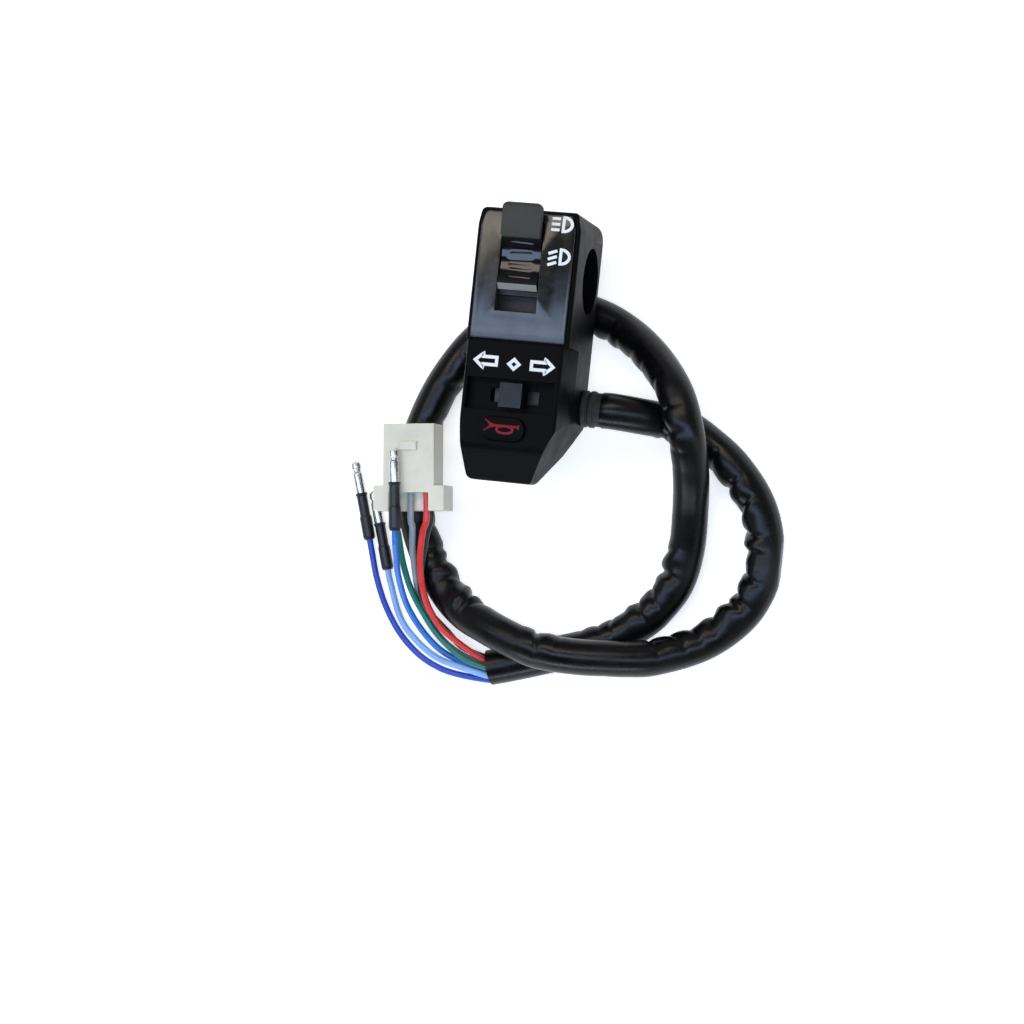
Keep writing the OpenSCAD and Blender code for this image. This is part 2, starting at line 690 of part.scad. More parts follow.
carriage_w = slider_w + 2 * carriage_lip;
carriage_over = 1.3;
carriage_len = slider_len + 2 * carriage_over;
carriage_top = slider_top + carriage_over;
beam_ball_side = 5.5;
beam_ball_at = [window_x - beam_ball_side, carriage_top - carriage_len / 2];
pocket_roof = 0.6;
pocket_r = ball_r + guide_gap;

module dimmer_carriage() {
  color(case_black) difference() {
    block([window_x - carriage_w / 2, carriage_top - carriage_len, beam_carriage_z],
      [window_x + carriage_w / 2, carriage_top, slider_z]);
    peg(beam_ball_at, pocket_r, beam_carriage_z - past, slider_z - pocket_roof);
  }
}

beam_bridge_len = 8;
beam_bridge_y = carriage_top - carriage_len / 2;
strip_w = 2;
strip_lip = 0.5;
common_x = window_x - 2;
live_x = window_x + 2;

module dimmer_moving_contact() {
  color(brass) block([common_x - strip_lip, beam_bridge_y - beam_bridge_len / 2, beam_contact_z],
    [live_x + strip_w + strip_lip, beam_bridge_y + beam_bridge_len / 2, beam_carriage_z]);
}

notch_r = 1.4;
notch_depth = 0.4;
notch_len = 2.4;
beam_base_drop = 4.4;
beam_base_low_y = cavity_top_y - beam_base_drop;
rail_past = 0.5;
rail_rise = 2.4;

module dimmer_base() {
  edge = seat_half_w - slide_gap;
  screw_side = small_head_r + slide_gap;
  rail_low = carriage_top - carriage_len - beam_travel - rail_past;
  left_rail = [window_x - carriage_w / 2 - guide_gap - rail_w, rail_low, carriage_top];
  right_rail = [window_x + carriage_w / 2 + guide_gap, beam_screw_places[1][1] + screw_side,
    beam_screw_places[0][1] - screw_side];
  color(base_brown) difference() {
    union() {
      block([-edge, beam_base_low_y, shelf_z], [edge, top_y - wall - slide_gap, base_top_z]);
      for (rail = [left_rail, right_rail])
        block([rail[0], rail[1], shelf_z], [rail[0] + rail_w, rail[2], beam_carriage_z + rail_rise]);
    }
    for (y = [0, -beam_travel])
      translate([beam_ball_at[0], beam_ball_at[1] + y, base_top_z + notch_r - notch_depth]) rotate([0, 90, 0])
        cylinder(r = notch_r, h = notch_len, center = true);
    for (p = beam_screw_places) peg(p, small_screw_r + screw_gap, 0, far);
  }
}

module dimmer_fixed_contacts() {
  common_low = beam_bridge_y - beam_bridge_len / 2 - beam_travel;
  high_low = beam_bridge_y + 1;
  live_len = 4;
  color(brass) {
    block([common_x, common_low, base_top_z],
      [common_x + strip_w, beam_bridge_y + beam_bridge_len / 2, base_top_z + contact_t]);
    for (low = [high_low, common_low])
      block([live_x, low, base_top_z], [live_x + strip_w, low + live_len, base_top_z + contact_t]);
  }
}

ball_lift = 0.05;
ball_spring_r = ball_r - 0.05;
beam_ball_z = base_top_z + ball_r + ball_lift;

module dimmer_detent_ball() {
  color(steel) translate([beam_ball_at[0], beam_ball_at[1], beam_ball_z]) sphere(r = ball_r);
}

module dimmer_detent_spring() {
  color(steel) translate([beam_ball_at[0], beam_ball_at[1], 0])
    spring(ball_spring_r, small_wire, 2, beam_ball_z + ball_r, slider_z - pocket_roof);
}

module dimmer_base_screws() {
  color(steel) for (p = beam_screw_places) translate([p[0], p[1], base_top_z]) mirror([0, 0, 1])
    pan_screw(small_screw_r, small_screw_len, small_head_r, small_head_h);
}

knob_low_z = recess_z + slide_gap + cancel_travel;
stem_reach = 1.8;
stem_low_z = turn_top_z - stem_reach;
cancel_floor_t = 1.2;
cancel_floor_z = turn_low_z + cancel_floor_t;
cancel_spring_r = 1.8;

module turn_knob() {
  knob_r = 1.5;
  outline = rounded(both_sides([[[knob_w / 2, knob_h / 2], knob_r], [[knob_w / 2, -knob_h / 2], knob_r]]));
  top_z = pod_front_z + knob_proud;
  grip_r = 12;
  grip_depth = 1;
  color(gloss_black) translate([0, knob_y, 0]) {
    difference() {
      along_z(knob_low_z, top_z) polygon(outline);
      for (side = [-1, 1]) translate([side * (knob_w / 2 + grip_r - grip_depth), 0, top_z]) rotate([90, 0, 0])
        cylinder(r = grip_r, h = knob_h + 2 * past, center = true, $fn = 96);
    }
    block([-stem_w / 2, -stem_h / 2, stem_low_z], [stem_w / 2, stem_h / 2, knob_low_z]);
  }
}

turn_ball_inset = 1.7;
turn_ball_y = knob_y - turn_carriage_w / 2 + turn_ball_inset;
turn_pocket_top_z = turn_low_z + 4.3;

module turn_carriage() {
  color(case_black) difference() {
    translate([0, knob_y, 0]) block([-turn_carriage_len / 2, -turn_carriage_w / 2, turn_low_z],
      [turn_carriage_len / 2, turn_carriage_w / 2, turn_top_z]);
    translate([0, knob_y, cancel_floor_z]) linear_extrude(far)
      square([stem_w + 2 * guide_gap, stem_h + 2 * guide_gap], center = true);
    peg([0, turn_ball_y], pocket_r, turn_low_z - past, turn_pocket_top_z);
  }
}

module turn_cancel_spring() {
  color(steel) translate([0, knob_y, 0]) spring(cancel_spring_r, small_wire, 4, cancel_floor_z, stem_low_z);
}

turn_bridge_w = 8;
turn_common = [-1.8, -0.3];
turn_live = [1, 2.8];
turn_live_w = 3;
turn_bridge_lip = 0.2;

module turn_moving_contact() {
  color(brass) translate([0, knob_y, 0])
    block([-turn_bridge_w / 2, turn_common[0] - turn_bridge_lip, turn_low_z - contact_t],
      [turn_bridge_w / 2, turn_live[1] + turn_bridge_lip, turn_low_z]);
}

module turn_base() {
  inset = 0.8;
  drop = 0.9;
  edge = half_w - wall - inset;
  color(base_brown) difference() {
    block([-edge, recess_bottom_y - drop, turn_base_z],
      [edge, recess_top_y + recess_wall + 2 * small_boss_r, turn_base_top_z]);
    for (x = [-turn_travel, 0, turn_travel])
      translate([x, turn_ball_y, turn_base_top_z + notch_r - notch_depth]) rotate([90, 0, 0])
        cylinder(r = notch_r, h = notch_len, center = true);
    for (p = turn_screw_places) peg(p, small_screw_r + screw_gap, -far, far);
  }
}

module turn_fixed_contacts() {
  reach = turn_bridge_w / 2 + turn_travel;
  color(brass) translate([0, knob_y, 0]) {
    block([-reach, turn_common[0], turn_base_top_z], [reach, turn_common[1], turn_base_top_z + contact_t]);
    for (side = [-1, 1]) translate([side * (reach - turn_live_w / 2), 0, 0])
      block([-turn_live_w / 2, turn_live[0], turn_base_top_z],
        [turn_live_w / 2, turn_live[1], turn_base_top_z + contact_t]);
  }
}

turn_ball_z = turn_base_top_z + ball_r + ball_lift;

module turn_detent_ball() {
  color(steel) translate([0, turn_ball_y, turn_ball_z]) sphere(r = ball_r);
}

module turn_detent_spring() {
  color(steel) translate([0, turn_ball_y, 0])
    spring(ball_spring_r, small_wire, 3, turn_ball_z + ball_r, turn_pocket_top_z);
}

module turn_base_screws() {
  color(steel) for (p = turn_screw_places) translate([p[0], p[1], turn_base_z])
    pan_screw(small_screw_r, small_screw_len, small_head_r, small_head_h);
}

horn_spring_r = 2.6;
horn_roof = 2;
horn_pocket_z = horn_top_z - horn_roof;

module horn_button() {
  crown_r = 14;
  color(gloss_black) translate([horn_x, horn_y, 0]) difference() {
    union() {
      intersection() {
        along_z(horn_flange_z, horn_top_z) stadium(horn_len, horn_h);
        translate([0, 0, horn_top_z - crown_r]) rotate([0, 90, 0])
          cylinder(r = crown_r, h = far, center = true, $fn = 96);
      }
      block([-horn_len / 2 - horn_lip, -horn_h / 2, horn_flange_z],
        [horn_len / 2 + horn_lip, horn_h / 2, horn_flange_top_z]);
    }
    peg([0, 0], horn_spring_r + guide_gap, horn_flange_z - past, horn_pocket_z);
  }
}

module horn_contact_plate() {
  half_len = horn_len / 2 - 0.5;
  half_h = horn_h / 2 - 0.3;
  color(brass) translate([horn_x, horn_y, 0]) difference() {
    block([-half_len, -half_h, horn_flange_z - contact_t], [half_len, half_h, horn_flange_z]);
    peg([0, 0], horn_spring_r + 2 * guide_gap, 0, far);
  }
}

module horn_spring() {
  color(steel) translate([horn_x, horn_y, 0])
    spring(horn_spring_r, horn_wire, 7, horn_base_top_z, horn_pocket_z);
}

horn_post_inset = 2;
horn_post_x = horn_len / 2 - horn_post_inset;
horn_post_r = 1.2;
horn_base_half = 7.5;
horn_base_past = 0.5;

module horn_base() {
  low_y = horn_screw_places[0][1] - small_boss_r - horn_base_past;
  color(base_brown) difference() {
    translate([horn_x, 0, 0])
      block([-horn_base_half, low_y, horn_base_z], [horn_base_half, horn_y + horn_h / 2, horn_base_top_z]);
    for (p = horn_screw_places) peg(p, small_screw_r + screw_gap, -far, far);
  }
}

module horn_fixed_contacts() {
  color(brass) for (side = [-1, 1])
    peg([horn_x + side * horn_post_x, horn_y], horn_post_r, horn_base_top_z, horn_base_top_z + post_h);
}

module horn_base_screws() {
  color(steel) for (p = horn_screw_places) translate([p[0], p[1], horn_base_z])
    pan_screw(small_screw_r, small_screw_len, small_head_r, small_head_h);
}

// Rubber boot turned about the sleeve's exit: flange, neck in the wall and tapered boot with two grooves
module cable_grommet() {
  outer_x = half_w + contact_gap;
  neck_x = half_w - wall - contact_gap;
  rib_w = 1.6;
  rib_gap = 1;
  core_r = boot_r - 0.5;
  first_rib = outer_x + rib_w;
  second_rib = first_rib + rib_gap;
  profile = [[0, inner_face_x], [grommet_flange_r, inner_face_x], [grommet_flange_r, neck_x],
    [grommet_neck_r, neck_x], [grommet_neck_r, outer_x], [boot_r, outer_x], [boot_r, first_rib],
    [core_r, first_rib], [core_r, second_rib], [boot_r, second_rib], [boot_r, second_rib + rib_w],
    [core_r, second_rib + rib_w], [core_r, boot_end_x], [0, boot_end_x]];
  color(case_black) translate([0, grommet_y, grommet_z]) rotate([0, 90, 0]) rotate_extrude() polygon(profile);
}

// Lead from the grommet's inner face, through points, to the underside of a switch base
module lead(start, points, base_z) {
  last = points[len(points) - 1];
  tube(concat([start, start + lead_run], points, [[last[0], last[1], base_z]]), lead_d, 8, [0, 1, 0]);
}

module dimmer_leads() {
  color(case_black) lead(beam_lead_start, beam_lead_points, shelf_z);
}

module turn_leads() {
  color(case_black) lead(turn_lead_start, turn_lead_points, turn_base_z);
}

module horn_leads() {
  color(case_black) lead(horn_lead_start, horn_lead_points, horn_base_z);
}

module harness_sleeve() {
  echo(sleeve_gap = least_gap(fine(sleeve_route, 4), sleeve_d, 16));
  color(case_black) tube(sleeve_route, sleeve_d, 12, low = floor_z);
}

// Wire from the sleeve's end face, through points over the floor, to its last stretch
module wire(start, points, last) {
  from = sleeve_end + start[0] * sleeve_end_side * -1 + start[1] * sleeve_end_up;
  over_floor = [for (p = points) [p[0], p[1], floor_z + p[2]]];
  tube(concat([from, from + exit_run * sleeve_end_dir], over_floor, last), wire_d, 8);
}

// Way of the connector: column -1 to 1, row -1 to 1, at a distance behind its rear face
function way(column, row, back = 0) =
  let (c = cos(connector_turn), s = sin(connector_turn), x = column * way_pitch)
  [connector_at[0] + c * x + s * back, connector_at[1] + s * x - c * back, way_z + row * way_rise];

// Boot end of a bullet, at a distance behind it
function bullet_end(i, back = 0) =
  bullets[i][0] + back * [sin(bullets[i][1]), -cos(bullets[i][1]), 0];

module wire_black() {
  color("#161618") wire(black_start, black_points, [way(1, -1, wire_run), way(1, -1)]);
}

module wire_red() {
  color("#d5322f") wire(red_start, red_points, [way(1, 1, wire_run), way(1, 1, -wire_entry)]);
}

module wire_grey() {
  color("#8f9ba3") wire(grey_start, grey_points, [way(0, 1, wire_run), way(0, 1, -wire_entry)]);
}

module wire_teal() {
  color("#1f7f72") wire(teal_start, teal_points, [way(-1, 1, wire_run), way(-1, 1, -wire_entry)]);
}

module wire_blue() {
  color("#2a72c8") wire(blue_start, blue_points, [bullet_end(2, bullet_run), bullet_end(2)]);
}

module wire_light_blue() {
  color("#8fb9ee") wire(light_start, light_points, [bullet_end(1, bullet_run), bullet_end(1)]);
}

module wire_royal_blue() {
  color("#2745b0") wire(royal_start, royal_points, [bullet_end(0, bullet_run), bullet_end(0)]);
}

module on_connector() {
  translate([connector_at[0], connector_at[1], connector_z]) rotate([0, 0, connector_turn]) children();
}

connector_full = skirt_len + connector_len;
way_floor = 8;
entry_side = 0.3;
entry_half_w = wire_d / 2 + entry_side;
latch_half_w = 3;
latch_len = 3;
latch_h = 1.2;
latch_back = 6;
terminal_t = 0.8;
terminal_back = 2;

module connector_housing() {
  color(nylon) on_connector() difference() {
    union() {
      block([-connector_w / 2, 0, 0], [connector_w / 2, connector_full, connector_t]);
      block([-skirt_w / 2, 0, 0], [skirt_w / 2, skirt_len, connector_t]);
      block([-latch_half_w, connector_full - latch_back - latch_len, connector_t],
        [latch_half_w, connector_full - latch_back, connector_t + latch_h]);
    }
    for (column = [-1 : 1], row = [-1, 1])
      translate([column * way_pitch, way_floor, connector_t / 2 + row * way_rise]) rotate([-90, 0, 0])
        linear_extrude(far) square(cavity_side, center = true);
    block([-way_pitch - entry_half_w, -past, connector_t / 2 + way_rise - entry_half_w],
      [way_pitch + entry_half_w, wire_entry, far]);
  }
}

module connector_terminals() {
  color(brass) on_connector() for (p = [[-1, 1], [0, 1], [1, 1], [1, -1]])
    translate([p[0] * way_pitch, way_floor, connector_t / 2 + p[1] * way_rise])
      block([-cavity_side / 2, 0, -terminal_t / 2],
        [cavity_side / 2, connector_full - way_floor - terminal_back, terminal_t / 2]);
}

module on_bullet(i) {
  translate(bullets[i][0]) rotate([-90, 0, bullets[i][1]]) children();
}

module bullet_terminals() {
  tip = 0.9;
  groove = 0.35;
  color(steel) for (i = [0 : 2]) on_bullet(i) translate([0, 0, bullet_boot_len]) rotate_extrude()
    polygon([[0, 0], [bullet_r, 0], [bullet_r, bullet_len - 4.5], [bullet_r - groove, bullet_len - 4],
      [bullet_r - groove, bullet_len - 3.2], [bullet_r, bullet_len - 2.7], [bullet_r, bullet_len - tip],
      [bullet_r - tip, bullet_len], [0, bullet_len]]);
}

module bullet_boots() {
  neck = 8;
  color("#1d2340") for (i = [0 : 2]) on_bullet(i) rotate_extrude()
    polygon([[0, 0], [bullet_boot_r - 0.4, 0], [bullet_boot_r, 1], [bullet_boot_r, neck],
      [bullet_boot_r - 0.3, neck + 0.6], [bullet_boot_r - 0.3, bullet_boot_len - 1],
      [bullet_boot_r, bullet_boot_len - 0.4], [bullet_boot_r, bullet_boot_len], [0, bullet_boot_len]]);
}

front_case();
faceplate();
rear_case();
case_screws();
dimmer_slider();
dimmer_thumb_pad();
dimmer_carriage();
dimmer_moving_contact();
dimmer_base();
dimmer_fixed_contacts();
dimmer_detent_ball();
dimmer_detent_spring();
dimmer_base_screws();
turn_knob();
turn_carriage();
turn_cancel_spring();
turn_moving_contact();
turn_base();
turn_fixed_contacts();
turn_detent_ball();
turn_detent_spring();
turn_base_screws();
horn_button();
horn_contact_plate();
horn_spring();
horn_base();
horn_fixed_contacts();
horn_base_screws();
cable_grommet();
dimmer_leads();
turn_leads();
horn_leads();
harness_sleeve();
wire_black();
wire_red();
wire_grey();
wire_teal();
wire_blue();
wire_light_blue();
wire_royal_blue();
connector_housing();
connector_terminals();
bullet_terminals();
bullet_boots();
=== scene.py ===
"""Looks of a handlebar switch cluster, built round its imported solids: case, switches, signs and harness."""

import math

import bmesh
import bpy
import numpy as np
from bpy.props import FloatProperty, FloatVectorProperty, PointerProperty
from mathutils import Matrix, Vector


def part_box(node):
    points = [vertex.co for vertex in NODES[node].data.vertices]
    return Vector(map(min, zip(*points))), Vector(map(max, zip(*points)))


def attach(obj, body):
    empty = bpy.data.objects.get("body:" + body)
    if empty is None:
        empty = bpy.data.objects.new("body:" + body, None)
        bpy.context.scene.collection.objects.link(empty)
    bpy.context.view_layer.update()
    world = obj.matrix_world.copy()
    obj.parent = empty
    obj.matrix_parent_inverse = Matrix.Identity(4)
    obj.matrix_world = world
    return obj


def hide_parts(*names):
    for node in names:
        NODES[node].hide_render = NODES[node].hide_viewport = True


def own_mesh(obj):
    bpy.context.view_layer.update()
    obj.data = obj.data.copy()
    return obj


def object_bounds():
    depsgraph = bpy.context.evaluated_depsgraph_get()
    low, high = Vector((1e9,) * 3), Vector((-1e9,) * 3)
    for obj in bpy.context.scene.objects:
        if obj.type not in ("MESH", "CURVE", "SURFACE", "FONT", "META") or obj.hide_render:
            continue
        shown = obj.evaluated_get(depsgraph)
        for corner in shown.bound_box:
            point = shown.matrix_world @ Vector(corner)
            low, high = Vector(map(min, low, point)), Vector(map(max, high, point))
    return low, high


bl_info = {
    "name": "Handlebar switch cluster",
    "version": (1, 0, 0),
    "blender": (4, 5, 0),
    "location": "View3D > Sidebar > Switch cluster",
    "description": "Builds the case, switches, signs and harness of a handlebar switch cluster",
    "category": "Object",
}

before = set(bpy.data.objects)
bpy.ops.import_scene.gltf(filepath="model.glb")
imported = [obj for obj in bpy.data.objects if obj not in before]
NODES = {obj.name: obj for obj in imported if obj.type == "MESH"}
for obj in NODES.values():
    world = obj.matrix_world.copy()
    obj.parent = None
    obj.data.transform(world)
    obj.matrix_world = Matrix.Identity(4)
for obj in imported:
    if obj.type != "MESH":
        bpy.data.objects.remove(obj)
CAD_BOX = [list(corner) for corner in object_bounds()]
MM = 0.001


def linear(code):
    """Linear colour of an sRGB hex value: each channel is raised by the sRGB curve."""
    c = np.array([int(code[i : i + 2], 16) for i in (1, 3, 5)]) / 255
    return tuple(np.where(c <= 0.04045, c / 12.92, ((c + 0.055) / 1.055) ** 2.4))


# Heights and places of the solids, read from the frame
FLOOR_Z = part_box("harness_sleeve")[0].z
REST_Z = FLOOR_Z + 5.04 * MM
POD_Z = 20.6
# Faces in mm: top of the faceplate, top of the horn button and its middle, and axis, height and radius of the dish
FACE_TOP, HORN_TOP, HORN_AT = 24.2, 22.6, (-2, -52)
DISH_AT, DISH_R = (2.85, 36.9), 14.2
# Crowns in mm: radii of the faceplate along and across, where its top lies along, and radius of the horn button
FACE_ALONG, FACE_ACROSS, FACE_MID, HORN_CROWN = 120, 80, -1.5, 14
RIB_X, RIB_Y, RIB_COUNT = (-7.0, 4.4), (-4.2, 9.8), 4
# Wide rounds: radius and box in mm of the panel's lower edge and of the slider's lower lip
PANEL_FOOT = (1.3, (-17.5, -24, 22.5), (17.5, -21, 25))
SLIDER_LIP = (0.7, (-8.5, -7.5, 23.5), (6, -6, 26))
# Middles of the signs in mm
HIGH_AT, LOW_AT = (11.5, 15.5), (11.6, 5.0)
LEFT_AT, MIDDLE_AT, RIGHT_AT = (-10, -30.2), (-0.5, -30.7), (9, -30.6)
# Springs: axis in mm, mean radius, wire radius, turns, heights of both ends, body, and the joint that presses it
SPRINGS = {
    "horn_spring": ((-2, -52), 2.6, 0.3, 7, (9.7, 20.6), "case", "horn_press"),
    "turn_cancel_spring": ((0, -40.95), 1.8, 0.2, 4, (7.5, 12.5), "turn_slide", "turn_cancel"),
    "dimmer_detent_spring": ((-6.8, 4.1), 0.95, 0.2, 2, (17.15, 19.2), "beam_slide", None),
    "turn_detent_spring": ((0, -44.75), 0.95, 0.2, 3, (7.45, 10.6), "turn_slide", None),
}
# Solids that keep their own shape, by finish
WORKS = {
    "steel": ["case_screws", "dimmer_base_screws", "turn_base_screws", "horn_base_screws", "dimmer_detent_ball",
              "turn_detent_ball"],
    "brass": ["dimmer_moving_contact", "dimmer_fixed_contacts", "turn_moving_contact", "turn_fixed_contacts",
              "horn_contact_plate", "horn_fixed_contacts"],
    "board": ["dimmer_base", "turn_base", "horn_base"],
    "carriage": ["dimmer_carriage", "turn_carriage"],
}
# Profiles in mm, as radius and distance along the axis
GROMMET_AT = (13.6, -41.55, -9.2)
GROMMET = [(2, 0), (5.3, 0), (5.3, 1.4), (4.6, 1.5), (4.6, 3.7), (6.2, 3.8), (6.2, 5.4), (5.7, 5.6), (5.7, 6.2),
           (6.2, 6.4), (6.2, 8), (5.7, 8.2), (5.7, 10.7), (5, 10.7)]
BOOT = [(1.3, 0), (1.7, 0), (2.1, 1), (2.1, 8), (1.8, 8.6), (1.8, 15.5), (2.1, 16.1), (2.1, 16.5), (1.75, 16.5)]
TIP = [(1.2, 0), (1.75, 0), (1.75, 7), (1.4, 7.5), (1.4, 8.3), (1.75, 8.8), (1.75, 10.6), (0.85, 11.5), (0.3, 11.5)]

# Route of the sleeve in mm: x, y and height over its rest; its first two points leave the boot
BOOT_EXIT = [[24.3, -41.55, 14.4], [28.3, -41.55, 14.4]]
SLEEVE_ROUTE = BOOT_EXIT + [
    [36, -42, 11.2], [43, -42.5, 6.2], [50, -43.8, 2], [57.5, -48, 0], [67.5, -55.5, 0], [76.5, -66.5, 0],
    [81, -79, 0], [81, -92.5, 0], [75.5, -105, 0], [64, -115.5, 1.2], [49, -122, 7.2], [40, -123.5, 10.8],
    [33, -124, 12.6], [26, -124.5, 13.4], [18.5, -124.5, 13.6], [11, -124, 13.5], [6, -123, 13.2],
    [-2, -120.5, 11.4], [-9.5, -118, 8.8], [-18.5, -114.5, 4.8], [-27, -108, 1.2], [-35, -97, 0], [-40.5, -84.5, 0],
    [-43, -71.5, 0], [-43, -58.5, 0], [-39.5, -45.5, 0], [-33.5, -32.5, 0], [-25, -20.5, 0], [-13, -11, 0],
    [1, -7, 0], [15, -8.5, 0], [28, -14.5, 2], [39.5, -23.5, 8.5], [48.5, -34, 15.6], [53.5, -46, 17.6],
    [55.5, -59, 11.8], [55.5, -72, 4.5], [55, -85, 0.8], [52.5, -96.5, 0], [47, -105.5, 0], [42.5, -110.5, 0],
    [36.5, -115, 0], [30, -119, 0], [23, -122, 0], [15.5, -124.5, 0], [8, -127, 0], [-1, -130, 0], [-9, -132.5, 0]]

# Routes of the wires in mm: x, y and height over the floor, and where each leaves the sleeve: across, and up
WIRE_ROUTES = {
    "black": ((-4, -1.3), [[-19.8, -126.6, 4.2], [-25.6, -121.8, 4.6], [-32.2, -114.8, 9.5], [-34.2, -109, 12.2],
                           [-34.6, -101.5, 13.4], [-33.8, -90, 14.4]]),
    "red": ((-3.2, 1.6), [[-18.8, -125.8, 8.6], [-25.8, -121, 10.4], [-30.8, -114.2, 12.4], [-33.2, -106.6, 15.4],
                          [-34.4, -97.4, 17.4], [-33.8, -88.4, 19.4]]),
    "grey": ((-1.2, -2), [[-19.8, -129.4, 2.8], [-27.4, -125.2, 2.2], [-33, -118.4, 4], [-36.2, -110.8, 7.2],
                          [-37.4, -101.2, 12.4], [-37.9, -93.4, 16.2], [-37.8, -87, 19]]),
    "teal": ((-0.5, 2.2), [[-18.8, -130, 7.2], [-27.4, -124, 7], [-33.6, -116.8, 7.8], [-38.4, -108.4, 10.8],
                           [-41, -99.4, 15.2], [-42.4, -90.6, 18.8]]),
    "blue": ((1.7, -2.2), [[-19.6, -132, 2.6], [-28, -128.4, 3.2], [-35, -122, 5], [-39.8, -113.8, 9.5],
                           [-41.8, -104.4, 16], [-41.6, -97.2, 22]]),
    "light_blue": ((2.3, 1.8), [[-18.8, -133.6, 5.6], [-28.6, -131.4, 3.4], [-37.2, -126.2, 2],
                                [-43.8, -119, 1.8]]),
    "royal_blue": ((4, -0.7), [[-19, -136.4, 3.2], [-27.4, -135, 2], [-35.6, -131.2, 1.8], [-43.2, -124.6, 1.8],
                               [-49.4, -115.8, 1.8], [-53.6, -106.4, 2.2]]),
}
# Straight runs of a wire in mm: out of the sleeve, into its way and into its bullet; and steps between two points
EXIT_RUN, WAY_RUN, BULLET_RUN = 1.5, 3, 4
SLEEVE_STEPS, WIRE_STEPS, LEAD_STEPS = 22, 12, 8
# Connector: middle of its rear face, turn about Z, spacing and rise of its ways, and how far the upper row's wires
# reach into its open skirt; column and row of each filled way
CONNECTOR_AT = np.array([-38.5, -81.7, -11.0])
CONNECTOR_TURN = math.radians(6)
WAY_PITCH, WAY_RISE, WIRE_ENTRY = 5.5, 2.8, 6.2
WIRE_WAYS = {"black": (1, -1), "red": (1, 1), "grey": (0, 1), "teal": (-1, 1)}
# Bullets: the wire's end of the boot, and the turn about Z
BULLETS = {
    "royal_blue": ((-57.6, -93.3, FLOOR_Z / MM + 2.4), math.radians(17)),
    "light_blue": ((-49.8, -103, FLOOR_Z / MM + 2.4), math.radians(17)),
    "blue": ((-41.7, -89, -2.6), math.radians(7)),
}
# Leads inside the pod in mm, from the grommet's inner face to the switch bases
LEAD_ROUTES = {
    "dimmer_leads": [[13.6, -39.55, -10.4], [9.3, -39.55, -10.4], [3.5, -33, -8.5], [0.5, -26.5, -4.5], [-1, -20, 2],
                     [-1, -16.4, 8], [-1, -16.4, 13.6]],
    "turn_leads": [[13.6, -41.55, -6.9], [9.3, -41.55, -6.9], [3.5, -41.3, -4.5], [0, -41, -0.5], [0, -41, 3.9]],
    "horn_leads": [[13.6, -43.55, -10.4], [9.3, -43.55, -10.4], [3.5, -48, -6.5], [-0.5, -52.5, -1.5], [-2, -54, 4],
                   [-2, -54, 8.2]],
}


class ClusterSizes(bpy.types.PropertyGroup):
    """Sizes of the pieces that are made round the solids."""

    sleeve_diameter: FloatProperty(name="Sleeve", description="Diameter of the harness sleeve", default=12.6 * MM,
                                   min=8 * MM, max=14 * MM, unit="LENGTH", subtype="DISTANCE")
    wire_diameter: FloatProperty(name="Wire", description="Diameter of a wire over its insulation", default=2.2 * MM,
                                 min=1.5 * MM, max=3 * MM, unit="LENGTH", subtype="DISTANCE")
    lead_diameter: FloatProperty(name="Lead", description="Diameter of a lead bundle inside the pod", default=3 * MM,
                                 min=1.5 * MM, max=4 * MM, unit="LENGTH", subtype="DISTANCE")
    fold_depth: FloatProperty(name="Fold depth", description="Depth of the folds on the inside of the sleeve's bends",
                              default=1.2 * MM, min=0, max=2 * MM, unit="LENGTH", subtype="DISTANCE")
    rib_height: FloatProperty(name="Rib height", description="Height of the grip ribs in the slider's dish",
                              default=0.16 * MM, min=0, max=0.4 * MM, unit="LENGTH", subtype="DISTANCE")
    edge_round: FloatProperty(name="Edge radius", description="Radius of the moulded edges of the case",
                              default=0.5 * MM, min=0.1 * MM, max=1 * MM, unit="LENGTH", subtype="DISTANCE")
    sign_stroke: FloatProperty(name="Sign stroke", description="Width of a printed sign's line", default=0.95 * MM,
                               min=0.4 * MM, max=2 * MM, unit="LENGTH", subtype="DISTANCE")


def colour(name, description, code):
    """Colour property with its sRGB default turned to linear."""
    return FloatVectorProperty(name=name, description=description, subtype="COLOR", size=3, min=0, max=1,
                               default=linear(code))


class ClusterColours(bpy.types.PropertyGroup):
    """Colours of the finishes."""

    case: colour("Case", "Matt moulded case halves", "#09090a")
    gloss: colour("Gloss", "Polished faceplate and switches", "#08080a")
    pad: colour("Thumb pad", "Matt thumb pad", "#2d302a")
    sign_white: colour("White print", "Printed beam and turn signs", "#eceeee")
    sign_red: colour("Red print", "Printed horn sign", "#7c121d")
    sleeve: colour("Sleeve", "Soft harness sleeve", "#08080a")
    rubber: colour("Rubber", "Grommet", "#141416")
    nylon: colour("Nylon", "Connector housing", "#e0dcc8")
    tin: colour("Tin", "Bullet terminals", "#cfd0cc")
    brass: colour("Brass", "Contacts and connector terminals", "#c8a24a")
    steel: colour("Steel", "Screws, springs and balls", "#c3c7ca")
    board: colour("Board", "Pressed board of the switch bases", "#15110e")
    boot: colour("Boot", "Soft boots of the bullets", "#10131c")
    wire_black: colour("Black wire", "Insulation of the black wire", "#18181b")
    wire_red: colour("Red wire", "Insulation of the red wire", "#d8332f")
    wire_grey: colour("Grey wire", "Insulation of the grey wire", "#8f9ba3")
    wire_teal: colour("Teal wire", "Insulation of the teal wire", "#18756a")
    wire_blue: colour("Blue wire", "Insulation of the blue wire", "#2a74cc")
    wire_light_blue: colour("Light blue wire", "Insulation of the light blue wire", "#8cb8f0")
    wire_royal_blue: colour("Royal blue wire", "Insulation of the royal blue wire", "#2747b4")


# Shapes worked out as arrays


